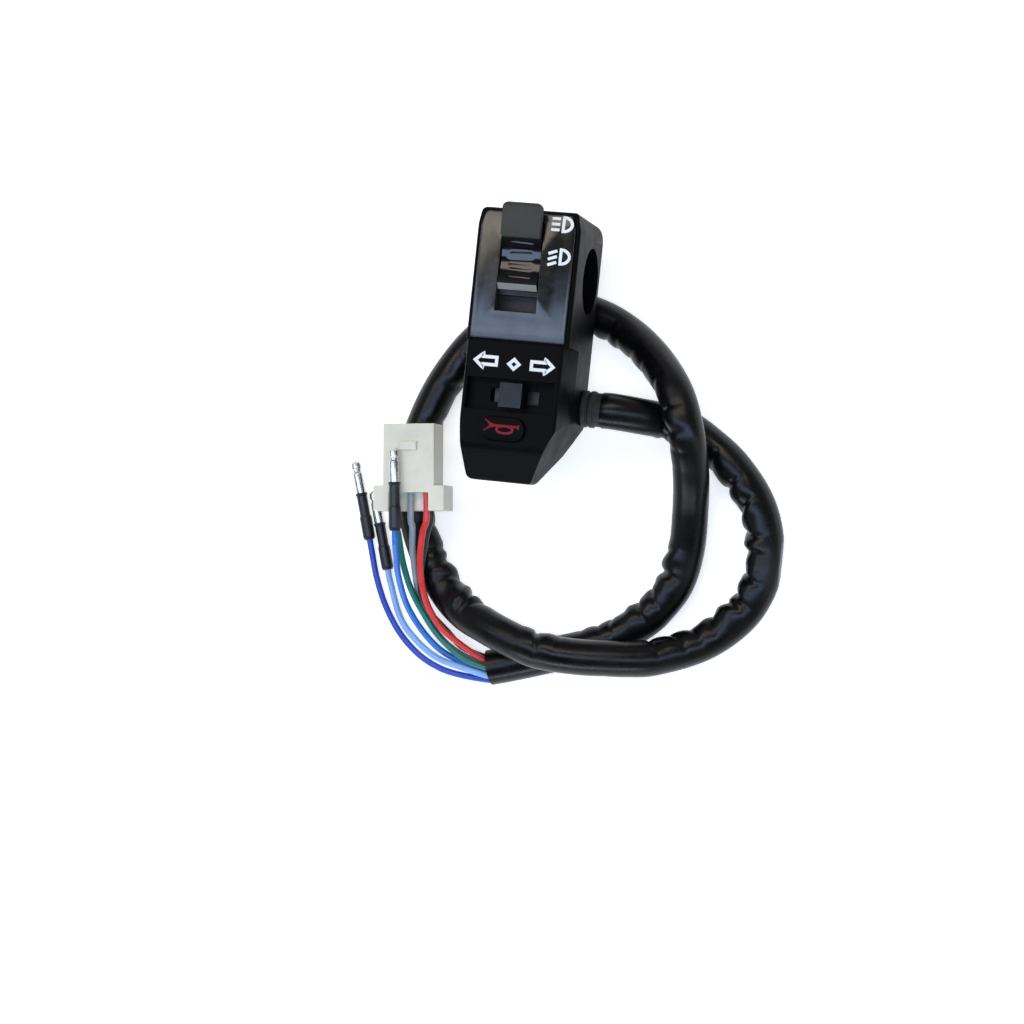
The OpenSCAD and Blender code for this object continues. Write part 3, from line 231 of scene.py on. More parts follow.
def spline(points, per):
    """Curve through points: each stretch is a cubic whose end tangents come from the neighbouring points."""
    p = np.asarray(points, float)
    m = np.gradient(p, axis=0)
    u = np.linspace(0, 1, per, endpoint=False)[None, :, None]
    a, b, ma, mb = p[:-1, None], p[1:, None], m[:-1, None], m[1:, None]
    h = (2 * u**3 - 3 * u**2 + 1) * a + (u**3 - 2 * u**2 + u) * ma
    h = h + (3 * u**2 - 2 * u**3) * b + (u**3 - u**2) * mb
    return np.vstack([h.reshape(-1, 3), p[-1:]])


def unit(v):
    """Vectors scaled to length one along the last axis."""
    return v / np.linalg.norm(v, axis=-1, keepdims=True)


def length_along(path):
    """Distance along a path at each of its points."""
    return np.concatenate([[0], np.cumsum(np.linalg.norm(np.diff(path, axis=0), axis=1))])


def path_frame(path, ref=(0, 0, 1)):
    """Direction, side and up vectors at each point of a path: side is square to the direction and to ref."""
    along = unit(np.gradient(path, axis=0))
    side = unit(np.cross(along, np.array(ref, float)))
    return along, side, np.cross(side, along)


def grid_mesh(name, *grids, closed=False):
    """Mesh of grids of points (rows, columns): columns close up, each row joins the next, and the last row joins the
    first if closed, or else both ends get caps."""
    points, faces, start = [], [], 0
    for grid in grids:
        rows, cols = grid.shape[:2]
        r = np.arange(rows if closed else rows - 1)[:, None]
        c = np.arange(cols)[None, :]
        r, n, c, m = np.broadcast_arrays(r * cols, (r + 1) % rows * cols, c, (c + 1) % cols)
        faces += (np.stack([r + c, r + m, n + m, n + c], axis=-1).reshape(-1, 4) + start).tolist()
        if not closed:
            ends = np.arange(cols)
            faces += [(ends[::-1] + start).tolist(), (ends + start + (rows - 1) * cols).tolist()]
        points.append(grid.reshape(-1, 3))
        start += rows * cols
    mesh = bpy.data.meshes.new(name)
    mesh.from_pydata(np.vstack(points).tolist(), [], faces)
    return made(name, mesh)


def made(name, mesh, sharp=35):
    """Object for a mesh, with its faces turned outwards and shaded smooth except at edges sharper than a limit."""
    work = bmesh.new()
    work.from_mesh(mesh)
    bmesh.ops.recalc_face_normals(work, faces=work.faces)
    work.to_mesh(mesh)
    work.free()
    mesh.polygons.foreach_set("use_smooth", np.ones(len(mesh.polygons), bool))
    mesh.set_sharp_from_angle(angle=math.radians(sharp))
    piece = bpy.data.objects.new(name, mesh)
    bpy.context.scene.collection.objects.link(piece)
    return piece


def tube(name, path, radius, sides=20, ref=(0, 0, 1)):
    """Tube along a path: ring k is path[k] + radius * (cos a * side + sin a * up)."""
    _, side, up = path_frame(path, ref)
    a = np.arange(sides) * 2 * math.pi / sides
    ring = np.cos(a)[None, :, None] * side[:, None] + np.sin(a)[None, :, None] * up[:, None]
    points = path[:, None] + np.broadcast_to(radius, (len(path), sides))[..., None] * ring
    return grid_mesh(name, points)


def turned(name, profile, origin, axis, sides=40):
    """Profile of (radius, along) pairs turned about an axis through origin."""
    p = np.asarray(profile, float)
    axis = unit(np.array(axis, float))
    side = unit(np.cross(axis, [0, 0, 1.0] if abs(axis[2]) < 0.9 else [1.0, 0, 0]))
    up = np.cross(side, axis)
    a = np.arange(sides) * 2 * math.pi / sides
    ring = np.cos(a)[:, None] * side + np.sin(a)[:, None] * up
    points = np.array(origin, float) + p[:, None, 1:2] * axis + p[:, None, 0:1] * ring[None]
    return grid_mesh(name, points)


def softened(corners, radius, steps=4):
    """Open profile with its corners rounded: each inner corner becomes a quadratic curve between points near it."""
    p = np.asarray(corners, float)
    a, q, b = p[:-2], p[1:-1], p[2:]
    la, lb = (np.linalg.norm(x - q, axis=1, keepdims=True) for x in (a, b))
    start = q + (a - q) * np.minimum(radius / la, 0.45)
    stop = q + (b - q) * np.minimum(radius / lb, 0.45)
    u = np.linspace(0, 1, steps + 1)[None, :, None]
    curve = (1 - u) ** 2 * start[:, None] + 2 * u * (1 - u) * q[:, None] + u**2 * stop[:, None]
    return np.vstack([p[:1], curve.reshape(-1, p.shape[1]), p[-1:]])


def strip(line, width, height_at, closed=False, lift=0.04):
    """Grid of a printed strip in metres: a line of x and y in mm, widened square to itself and laid on a surface.

    At a corner the strip is mitred: the two normals are added and divided by one plus their product, up to a limit.
    """
    p = np.asarray(line, float)
    if closed:
        p = np.vstack([p, p[:1]])
    steps = np.maximum((np.linalg.norm(np.diff(p, axis=0), axis=1) / 0.5).astype(int), 1)
    at = np.concatenate([np.linspace(i, i + 1, n, endpoint=False) for i, n in enumerate(steps)] + [[len(p) - 1.0]])
    dense = np.stack([np.interp(at, np.arange(len(p)), p[:, k]) for k in (0, 1)], axis=1)
    wide = np.interp(at, np.arange(len(p)), np.broadcast_to(width, len(p)))[:, None] / 2
    if closed:
        dense, wide = dense[:-1], wide[:-1]
        ahead, behind = np.roll(dense, -1, axis=0) - dense, dense - np.roll(dense, 1, axis=0)
    else:
        step = np.diff(dense, axis=0)
        ahead, behind = np.vstack([step, step[-1:]]), np.vstack([step[:1], step])
    a, b = (np.stack([-d[:, 1], d[:, 0]], axis=1) for d in (unit(ahead), unit(behind)))
    mitre = (a + b) / (1 + np.sum(a * b, axis=1, keepdims=True))
    across = mitre * np.minimum(1, 1.45 / np.linalg.norm(mitre, axis=1, keepdims=True)) * wide
    flat = np.stack([dense - across, dense + across, dense + across, dense - across], axis=1)
    z = height_at(flat[..., 0], flat[..., 1]) + np.array([lift, lift, -0.03, -0.03])
    return np.concatenate([flat, z[..., None]], axis=2) * MM


def rounded_copy(name, node, radius, wide=None, angle=32):
    """Copy of a solid with its sharp edges rounded: flat faces are joined first, then each sharp edge is bevelled.

    wide is a larger radius and a box in mm: edges that lie whole in that box get this radius first.
    """
    work = bmesh.new()
    work.from_mesh(NODES[node].data)
    bmesh.ops.remove_doubles(work, verts=work.verts, dist=0.002 * MM)
    bmesh.ops.dissolve_limit(work, angle_limit=math.radians(0.8), verts=work.verts, edges=work.edges)
    rounds = [(radius, 3, (-1e3, -1e3, -1e3), (1e3, 1e3, 1e3))]
    if wide:
        rounds.insert(0, (wide[0], 7, *wide[1:]))
    for size, segments, low, high in rounds:
        low, high = np.array(low) * MM, np.array(high) * MM
        edges = [e for e in work.edges if len(e.link_faces) == 2 and e.calc_face_angle(0) > math.radians(angle)
                 and all(np.all(low < v.co) and np.all(np.array(v.co) < high) for v in e.verts)]
        bmesh.ops.bevel(work, geom=edges, offset=size, offset_type="OFFSET", segments=segments, profile=0.5,
                        affect="EDGES", clamp_overlap=True, harden_normals=False)
    mesh = bpy.data.meshes.new(name)
    work.to_mesh(mesh)
    work.free()
    piece = made(name, mesh)
    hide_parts(node)
    weigh = piece.modifiers.new("Even shading", "WEIGHTED_NORMAL")
    weigh.keep_sharp = True
    return piece


# Materials


def add(tree, kind, values=None, links=None, **settings):
    """Adds a node with its settings, its input values and the links into it."""
    node = tree.nodes.new(kind)
    for key, value in settings.items():
        setattr(node, key, value)
    for key, value in (values or {}).items():
        node.inputs[key].default_value = value
    for key, source in (links or {}).items():
        tree.links.new(source, node.inputs[key])
    return node


def surface(name, shader_values):
    """New material: its node tree, its object coordinates and its shader, with the shader's constant values set."""
    material = bpy.data.materials.new(name)
    material.use_nodes = True
    tree = material.node_tree
    tree.nodes.clear()
    shader = add(tree, "ShaderNodeBsdfPrincipled", shader_values)
    add(tree, "ShaderNodeOutputMaterial", links={"Surface": shader.outputs["BSDF"]})
    place = add(tree, "ShaderNodeTexCoord").outputs["Object"]
    return material, tree, shader, place


def textured(name, base, rough, grain, height, tint=0.12, cloud=6 * MM, streak=None, **shader_values):
    """Moulded or drawn surface: colour clouds, grain that varies the roughness between two limits, and a bump.

    grain is the size of one speck in metres, height the depth of the bump, tint how far the clouds darken the
    colour, cloud their size, and streak stretches the grain along one axis.
    """
    material, tree, shader, place = surface(name, shader_values)
    if streak:
        place = add(tree, "ShaderNodeMapping", {"Scale": streak}, {"Vector": place}).outputs["Vector"]
    specks = add(tree, "ShaderNodeTexNoise", {"Scale": 1 / grain, "Detail": 3.0, "Roughness": 0.6}, {"Vector": place})
    clouds = add(tree, "ShaderNodeTexNoise", {"Scale": 1 / cloud, "Detail": 4.0}, {"Vector": place})
    shades = {"From Min": 0.3, "From Max": 0.7, "To Min": 1 - tint, "To Max": 1 + tint}
    shade = add(tree, "ShaderNodeMapRange", shades, {"Value": clouds.outputs["Fac"]})
    paint = add(tree, "ShaderNodeVectorMath", {0: tuple(base)}, {1: shade.outputs["Result"]}, operation="MULTIPLY")
    tree.links.new(paint.outputs["Vector"], shader.inputs["Base Color"])
    mix = add(tree, "ShaderNodeMath", {1: 0.5}, {0: specks.outputs["Fac"], 2: clouds.outputs["Fac"]},
              operation="MULTIPLY_ADD")
    limits = {"From Min": 0.45, "From Max": 1.05, "To Min": rough[0], "To Max": rough[1]}
    gloss = add(tree, "ShaderNodeMapRange", limits, {"Value": mix.outputs["Value"]})
    tree.links.new(gloss.outputs["Result"], shader.inputs["Roughness"])
    bump = add(tree, "ShaderNodeBump", {"Strength": 1.0, "Distance": height}, {"Height": specks.outputs["Fac"]})
    tree.links.new(bump.outputs["Normal"], shader.inputs["Normal"])
    return material


MATERIALS = {}


def finish(name):
    """Material of a finish, made at its first use."""
    if name not in MATERIALS:
        MATERIALS[name] = FINISHES[name](bpy.context.scene.cluster_colours)
    return MATERIALS[name]


# Case: ABS from a spark-eroded mould, so matt and evenly grained. The grain of 0.2 mm is drawn at 0.35 mm to show.
# Gloss: ABS from a polished mould, black with a faint orange peel.
# Pad: soft-touch elastomer over the slider, dull and slightly dusty.
# Print: pad-printed ink, thin and satin.
# Sleeve: plasticised PVC tubing, smooth, with a soft waxy gloss. Boot: softer PVC, satin.
# Rubber: EPDM grommet, dull.
# Insulation: extruded PVC, satin, with faint specks.
# Nylon: natural polyamide 66, milky, with light going into it. Carriage: black polyamide, satin.
# Tin: tinned brass, bright but soft. Brass: stamped and slightly dull. Steel: zinc plated or drawn.
# Board: pressed phenolic paper, dark brown, with fibres.
FINISHES = {
    "case": lambda c: textured("case_abs_grained", c.case, (0.36, 0.5), 0.35 * MM, 0.02 * MM, 0.15, IOR=1.3,
                              **{"Specular IOR Level": 0.1}),
    "gloss": lambda c: textured("switch_abs_polished", c.gloss, (0.16, 0.3), 1.6 * MM, 0.004 * MM, 0.1, IOR=1.4),
    "panel": lambda c: textured("panel_abs_polished", c.gloss, (0.14, 0.26), 1.6 * MM, 0.004 * MM, 0.1, IOR=1.6),
    "slider": lambda c: textured("slider_abs_polished", c.gloss, (0.08, 0.16), 1.6 * MM, 0.003 * MM, 0.1, IOR=1.5),
    "pad": lambda c: textured("pad_elastomer", c.pad, (0.55, 0.8), 0.4 * MM, 0.05 * MM, 0.16, IOR=1.5),
    "sign_white": lambda c: textured("print_white_ink", c.sign_white, (0.4, 0.6), 0.5 * MM, 0.004 * MM, 0.05,
                                    IOR=1.5),
    "sign_red": lambda c: textured("print_red_ink", c.sign_red, (0.25, 0.45), 0.5 * MM, 0.004 * MM, 0.12, IOR=1.5,
                                  **{"Specular IOR Level": 0.15}),
    "sleeve": lambda c: textured("sleeve_soft_pvc", c.sleeve, (0.2, 0.4), 1.1 * MM, 0.02 * MM, 0.2, 9 * MM, IOR=1.45,
                                **{"Specular IOR Level": 0.3}),
    "rubber": lambda c: textured("grommet_rubber", c.rubber, (0.5, 0.7), 0.5 * MM, 0.03 * MM, 0.15, IOR=1.5),
    "nylon": lambda c: textured("connector_nylon", c.nylon, (0.3, 0.5), 0.9 * MM, 0.012 * MM, 0.04, 5 * MM, IOR=1.53,
                                **{"Subsurface Weight": 0.25, "Subsurface Scale": 2 * MM}),
    "carriage": lambda c: textured("carriage_nylon", c.case, (0.35, 0.55), 0.9 * MM, 0.01 * MM, 0.05, IOR=1.53),
    "tin": lambda c: textured("terminal_tinned_brass", c.tin, (0.16, 0.38), 0.5 * MM, 0.01 * MM, 0.12, 2 * MM,
                              Metallic=1.0),
    "brass": lambda c: textured("contact_stamped_brass", c.brass, (0.22, 0.45), 0.4 * MM, 0.01 * MM, 0.15, 2 * MM,
                                Metallic=1.0),
    "steel": lambda c: textured("fixings_zinc_steel", c.steel, (0.25, 0.45), 0.4 * MM, 0.008 * MM, 0.12, 2 * MM,
                                Metallic=1.0),
    "board": lambda c: textured("base_pressed_board", c.board, (0.45, 0.7), 0.5 * MM, 0.02 * MM, 0.25, 3 * MM,
                                (4.0, 1.0, 1.0), IOR=1.55),
    "boot": lambda c: textured("boot_soft_pvc", c.boot, (0.3, 0.5), 0.8 * MM, 0.015 * MM, 0.2, IOR=1.53),
}
for wire in WIRE_ROUTES:
    FINISHES["wire_" + wire] = lambda c, key="wire_" + wire: textured(
        key + "_insulation", getattr(c, key), (0.28, 0.46), 0.7 * MM, 0.01 * MM, 0.1, 4 * MM, IOR=1.53)


def dress(piece, body, finish_name):
    """Gives a piece its finish in its one material slot and the body that it moves with."""
    piece.data.materials.clear()
    piece.data.materials.append(finish(finish_name))
    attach(piece, body)
    return piece


# Harness


def sleeve_path():
    """Middle line of the sleeve in metres."""
    p = np.array(SLEEVE_ROUTE, float)
    return spline(p * MM + [0, 0, REST_Z], SLEEVE_STEPS)


def way_place(column, row, back):
    """Point in mm at a way of the connector, a distance behind its rear face."""
    c, s = math.cos(CONNECTOR_TURN), math.sin(CONNECTOR_TURN)
    x = column * WAY_PITCH
    return CONNECTOR_AT + [c * x + s * back, s * x - c * back, row * WAY_RISE]


def wire_path(key):
    """Middle line of a wire in metres, from the sleeve's end face to its way or its bullet."""
    (across, rise), points = WIRE_ROUTES[key]
    route = np.array(SLEEVE_ROUTE[-2:], float)
    end = route[1] * MM + [0, 0, REST_Z]
    along = unit(route[1] - route[0])
    side = unit(np.cross(along, [0, 0, 1.0]))
    up = np.cross(side, along)
    start = end + MM * (-across * side + rise * up)
    middle = np.array(points, float) * MM + [0, 0, FLOOR_Z]
    if key in WIRE_WAYS:
        column, row = WIRE_WAYS[key]
        entry = WIRE_ENTRY if row > 0 else 0
        last = [MM * way_place(column, row, back) for back in (WAY_RUN, -entry)]
    else:
        at, turn = BULLETS[key]
        behind = np.array([math.sin(turn), -math.cos(turn), 0])
        last = [MM * (np.array(at) + back * behind) for back in (BULLET_RUN, 0)]
    return spline(np.vstack([start, start + EXIT_RUN * MM * along, middle, last]), WIRE_STEPS)


def sleeve_radius(path, diameter, depth, sides):
    """Radius over the sleeve: round, with folds on the inside of its bends and slight lumps from the wires inside.

    Where it bends, its inner wall is gathered: bell-shaped puffs stand out towards the bend's centre, parted by
    narrow creases, and both run slanting over the top as they fade. Fine slack wrinkles lie along the gathered side.
    """
    window, pitch, puff_width = 12 * MM, 8.2 * MM, 2.9 * MM
    straight, tightest, base = 9, 22, 0.965
    s = length_along(path)
    along, side, _ = path_frame(path)
    bend = np.gradient(along, axis=0) / np.gradient(s)[:, None]
    inward = np.sum(bend * side, axis=1)
    span = int(window / (s[-1] / len(s)))
    smooth = np.convolve(np.pad(inward, span, mode="edge"), np.ones(2 * span + 1) / (2 * span + 1), mode="valid")
    tight = np.clip((np.abs(smooth) - straight) / (tightest - straight), 0, 1)
    a = np.arange(sides) * 2 * math.pi / sides
    toward = np.where(smooth[:, None] > 0, np.cos(a)[None, :], -np.cos(a)[None, :])
    inner = np.clip((toward + 0.45) / 1.45, 0, 1) ** 1.2
    draw = np.random.default_rng(11)
    count = int(s[-1] / pitch)
    place = (np.arange(count) + draw.uniform(-0.28, 0.28, count)) * s[-1] / count
    width = draw.uniform(0.8, 1.4, count) * MM
    slant = draw.uniform(-4.5, 4.5, count) * MM
    deep = draw.uniform(0.5, 1.0, count)
    tall = draw.uniform(0.2, 1.0, count)
    gap = s[:, None, None] - place - slant * np.sin(a)[None, :, None]
    creases = np.sum(deep * np.exp(-((gap / width) ** 2)), axis=2)
    puffs = np.sum(tall * np.exp(-(((gap - pitch / 2) / puff_width) ** 2)), axis=2)
    at, round_ = s[:, None], a[None, :]
    wrinkles = np.sin(at / (1.1 * MM) + 5 * round_) * np.sin(at / (4.7 * MM) - 2 * round_)
    lumps = 0.012 * np.sin(3 * round_ + at / (17 * MM)) + 0.01 * np.sin(at / (8 * MM) + round_)
    gathered = 1.1 * puffs - 1.05 * creases + 0.09 * wrinkles
    return diameter / 2 * (base + lumps) + depth * tight[:, None] * inner * gathered


class CLUSTER_OT_sleeve(bpy.types.Operator):
    """Lay the folded sleeve of the harness"""

    bl_idname = "cluster.sleeve"
    bl_label = "Harness sleeve"

    def execute(self, context):
        sizes = context.scene.cluster_sizes
        path = sleeve_path()
        sides = 48
        radius = sleeve_radius(path, sizes.sleeve_diameter, sizes.fold_depth, sides)
        wall, reach = 0.7 * MM, 5 * MM
        along = unit(path[-1] - path[-2])
        inside = [path[-1], path[-1] - 0.3 * reach * along, path[-1] - reach * along]
        line = np.vstack([path, inside])
        inner = np.repeat(radius[-1:] - wall, 3, axis=0)
        _, side, up = path_frame(path)
        side = np.vstack([side, np.repeat(side[-1:], 3, axis=0)])
        up = np.vstack([up, np.repeat(up[-1:], 3, axis=0)])
        a = np.arange(sides) * 2 * math.pi / sides
        ring = np.cos(a)[None, :, None] * side[:, None] + np.sin(a)[None, :, None] * up[:, None]
        points = line[:, None] + np.vstack([radius, inner])[..., None] * ring
        points = np.clip(points, *CAD_BOX)
        piece = grid_mesh("sleeve", points)
        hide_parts("harness_sleeve")
        dress(piece, "case", "sleeve")
        return {"FINISHED"}


class CLUSTER_OT_connector(bpy.types.Operator):
    """Make the connector's housing and its terminals"""

    bl_idname = "cluster.connector"
    bl_label = "Connector"

    def execute(self, context):
        edge = 0.6 * context.scene.cluster_sizes.edge_round
        dress(rounded_copy("connector_shell", "connector_housing", edge), "case", "nylon")
        dress(rounded_copy("connector_blades", "connector_terminals", 0.2 * edge), "case", "brass")
        return {"FINISHED"}


class CLUSTER_OT_bullets(bpy.types.Operator):
    """Make the bullets' tinned tips and soft boots"""

    bl_idname = "cluster.bullets"
    bl_label = "Bullets"

    def execute(self, context):
        for key, (at, turn) in BULLETS.items():
            along = np.array([-math.sin(turn), math.cos(turn), 0])
            start = np.array(at) * MM
            boot = turned("boot_" + key, softened(np.array(BOOT) * MM, 0.25 * MM), start, along, 32)
            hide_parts("bullet_boots")
            dress(boot, "case", "boot")
            front = start + BOOT[-1][1] * MM * along
            tip = turned("tip_" + key, softened(np.array(TIP) * MM, 0.15 * MM), front, along, 32)
            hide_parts("bullet_terminals")
            dress(tip, "case", "tin")
        return {"FINISHED"}


class CLUSTER_OT_wires(bpy.types.Operator):
    """Lay the coloured wires between the sleeve's end, the connector and the bullets"""

    bl_idname = "cluster.wires"
    bl_label = "Wires"

    def execute(self, context):
        diameter = context.scene.cluster_sizes.wire_diameter
        for key in WIRE_ROUTES:
            path = wire_path(key)
            piece = tube("wire_" + key + "_insulated", path, diameter / 2)
            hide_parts("wire_" + key)
            dress(piece, "case", "wire_" + key)
        return {"FINISHED"}


class CLUSTER_OT_leads(bpy.types.Operator):
    """Lay the lead bundles inside the pod"""

    bl_idname = "cluster.leads"
    bl_label = "Leads"

    def execute(self, context):
        for node, route in LEAD_ROUTES.items():
            path = spline(np.array(route, float) * MM, LEAD_STEPS)
            piece = tube(node + "_bundle", path, context.scene.cluster_sizes.lead_diameter / 2, 16, (0, 1, 0))
            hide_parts(node)
            dress(piece, "case", "wire_black")
        return {"FINISHED"}


class CLUSTER_OT_grommet(bpy.types.Operator):
    """Turn the ribbed grommet where the harness leaves the pod"""

    bl_idname = "cluster.grommet"
    bl_label = "Grommet"

    def execute(self, context):
        profile = softened(np.array(GROMMET) * MM, 0.35 * MM)
        piece = turned("grommet_boot", profile, np.array(GROMMET_AT) * MM, (1, 0, 0), 64)
        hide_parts("cable_grommet")
        dress(piece, "case", "rubber")
        return {"FINISHED"}


class CLUSTER_OT_springs(bpy.types.Operator):
    """Wind the return and detent springs"""

    bl_idname = "cluster.springs"
    bl_label = "Springs"

    def execute(self, context):
        for node, ((x, y), radius, wire, turns, (low, high), body, joint) in SPRINGS.items():
            t = np.linspace(0, 1, 40 * turns + 1)
            z = low + wire + (high - low - 2 * wire) * t
            a = turns * 2 * math.pi * t
            path = np.stack([x + radius * np.cos(a), y + radius * np.sin(a), z], axis=1)
            piece = tube(node + "_coil", path * MM, wire * MM, 10)
            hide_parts(node)
            dress(piece, body, "steel")
            if joint:
                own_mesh(piece)
        return {"FINISHED"}


class CLUSTER_OT_works(bpy.types.Operator):
    """Give the screws, bases, contacts, carriages and balls their finishes"""

    bl_idname = "cluster.works"
    bl_label = "Inner works"

    def execute(self, context):
        for finish_name, nodes in WORKS.items():
            for node in nodes:
                for place in NODES[node].material_slots:
                    place.material = finish(finish_name)
        return {"FINISHED"}


class CLUSTER_OT_case(bpy.types.Operator):
    """Round the edges of the case halves and the faceplate"""

    bl_idname = "cluster.case"
    bl_label = "Case"

    def execute(self, context):
        edge = context.scene.cluster_sizes.edge_round
        dress(rounded_copy("case_front", "front_case", edge), "case", "case")
        dress(rounded_copy("case_rear", "rear_case", edge), "case", "case")
        panel = rounded_copy("face_panel", "faceplate", edge, PANEL_FOOT)
        dress(panel, "case", "panel")
        return {"FINISHED"}


class CLUSTER_OT_switches(bpy.types.Operator):
    """Round the edges of the slider, thumb pad, turn knob and horn button"""

    bl_idname = "cluster.switches"
    bl_label = "Switches"

    def execute(self, context):
        edge = context.scene.cluster_sizes.edge_round
        slider = rounded_copy("beam_slider", "dimmer_slider", 0.6 * edge, SLIDER_LIP)
        dress(slider, "beam_slide", "slider")
        dress(rounded_copy("beam_pad", "dimmer_thumb_pad", 0.8 * edge), "beam_slide", "pad")
        dress(rounded_copy("turn_grip", "turn_knob", edge), "turn_push", "gloss")
        dress(rounded_copy("horn_cap", "horn_button", edge), "horn_push", "case")
        return {"FINISHED"}


def face_height(x, y):
    """Height of the faceplate in mm: the lower of two crowns, one along and one across the panel."""
    along = FACE_TOP - FACE_ALONG + np.sqrt(FACE_ALONG**2 - (y - FACE_MID) ** 2)
    return np.minimum(FACE_TOP - FACE_ACROSS + np.sqrt(FACE_ACROSS**2 - x**2), along)


def pod_height(x, y):
    """Height of the pod's flat front in mm."""
    return np.full(np.shape(x), POD_Z)


def horn_height(x, y):
    """Height of the horn button's crown in mm: a cylinder along the bar."""
    return HORN_TOP - HORN_CROWN + np.sqrt(HORN_CROWN**2 - (y - HORN_AT[1]) ** 2)


def dish_height(y):
    """Height of the slider's dish in mm: a hollow cylinder along the bar."""
    return DISH_AT[1] - np.sqrt(DISH_R**2 - (y - DISH_AT[0]) ** 2)


class CLUSTER_OT_ribs(bpy.types.Operator):
    """Lay the grip ribs across the slider's dish"""

    bl_idname = "cluster.ribs"
    bl_label = "Grip ribs"

    def execute(self, context):
        u = np.linspace(0, 1, 150)[:, None]
        v = np.linspace(0, 1, 36)[None, :]
        x = RIB_X[0] + (RIB_X[1] - RIB_X[0]) * v
        y = RIB_Y[0] + (RIB_Y[1] - RIB_Y[0]) * u + 0.25 * np.sin(2.2 * v + 9 * u)
        fade = np.clip(5 * np.minimum(v, 1 - v), 0, 1) * np.clip(9 * np.minimum(u, 1 - u), 0, 1)
        wave = 0.5 - 0.5 * np.cos(2 * math.pi * (u * RIB_COUNT))
        top = dish_height(y) - 0.05 + fade * (0.05 + context.scene.cluster_sizes.rib_height / MM * wave)
        x, y = np.broadcast_arrays(x, y)
        over = np.stack([x, y, top], axis=2)
        under = np.stack([x, y, dish_height(y) - 0.3], axis=2)[:, ::-1]
        piece = grid_mesh("slider_ribs", np.concatenate([over, under], axis=1) * MM)
        dress(piece, "beam_slide", "slider")
        return {"FINISHED"}


class CLUSTER_OT_signs(bpy.types.Operator):
    """Print the beam, turn and horn signs"""

    bl_idname = "cluster.signs"
    bl_label = "Signs"

    def execute(self, context):
        width = context.scene.cluster_sizes.sign_stroke / MM
        a = np.linspace(-math.pi / 2, math.pi / 2, 24)
        lens = np.stack([0.3 + 2.8 * np.cos(a), 2.3 * np.sin(a)], axis=1)
        for name, (x, y), drop in (("high", HIGH_AT, 0), ("low", LOW_AT, -1.1)):
            grids = [strip([(x - 3.7, y + v + drop), (x - 0.9, y + v)], width, face_height) for v in (1.85, 0, -1.85)]
            dress(grid_mesh("sign_" + name + "_rays", *grids), "case", "sign_white")
            rim = strip(lens + [x, y], width, face_height, True)
            dress(grid_mesh("sign_" + name + "_lens", rim, closed=True), "case", "sign_white")
        tip, neck, wing, shaft = 3.6, 0.9, 2.35, 1.25
        arrow = np.array([(-tip, 0), (-neck, wing), (-neck, shaft), (tip, shaft), (tip, -shaft), (-neck, -shaft),
                          (-neck, -wing)])
        diamond = np.array([(0, 1.55), (1.7, 0), (0, -1.55), (-1.7, 0)])
        shapes = {"left": arrow + LEFT_AT, "middle": diamond + MIDDLE_AT, "right": arrow * [-1, 1] + RIGHT_AT}
        for name, line in shapes.items():
            print_ = grid_mesh("sign_turn_" + name, strip(line, 1.15 * width, pod_height, True), closed=True)
            dress(print_, "case", "sign_white")
        x, y = HORN_AT
        reach = np.linspace(-1, 1, 40)
        flare = 0.8 + 3.6 * np.clip(-reach - 0.25, 0, 1) ** 2 * 1.7 + 1.2 * np.clip(reach - 0.86, 0, 1) * 6
        body = strip(np.stack([x + 5.9 * reach, np.full(40, y + 0.9)], axis=1), flare, horn_height)
        t = np.linspace(0, 2 * math.pi, 40, endpoint=False)
        oval = np.stack([x + 1.1 + 2.7 * np.cos(t), y - 0.25 + 1.15 * np.sin(t)], axis=1)
        coil = strip(oval, 0.75, horn_height, True)
        dress(grid_mesh("sign_horn_bell", body), "horn_push", "sign_red")
        dress(grid_mesh("sign_horn_coil", coil, closed=True), "horn_push", "sign_red")
        return {"FINISHED"}


class CLUSTER_OT_stage(bpy.types.Operator):
    """Set up the camera, the white floor and the soft lights"""

    bl_idname = "cluster.stage"
    bl_label = "Stage"

    def execute(self, context):
        scene = context.scene
        scene.view_settings.view_transform = "Standard"
        place_camera(scene)
        place_floor(scene)
        place_lights(scene)
        return {"FINISHED"}


def place_camera(scene):
    """Camera over the face, turned 14 degrees about the case's long axis and rolled 6 degrees."""
    yaw, roll, distance = math.radians(14), math.radians(6), 0.8
    out = Vector((math.sin(yaw), 0, math.cos(yaw)))
    across = Vector((math.cos(yaw), 0, -math.sin(yaw)))
    target = across * (-1.07 * MM) + Vector((0, -78.5 * MM, 0))
    right = across * math.cos(roll) + Vector((0, 1, 0)) * math.sin(roll)
    up = -across * math.sin(roll) + Vector((0, 1, 0)) * math.cos(roll)
    data = bpy.data.cameras.new("camera")
    data.sensor_width, data.lens = 36, 84.375
    data.clip_start, data.clip_end = 0.01, 20
    camera = bpy.data.objects.new("camera", data)
    scene.collection.objects.link(camera)
    camera.matrix_world = Matrix.Translation(target + out * distance) @ Matrix((right, up, out)).transposed().to_4x4()
    scene.camera = camera


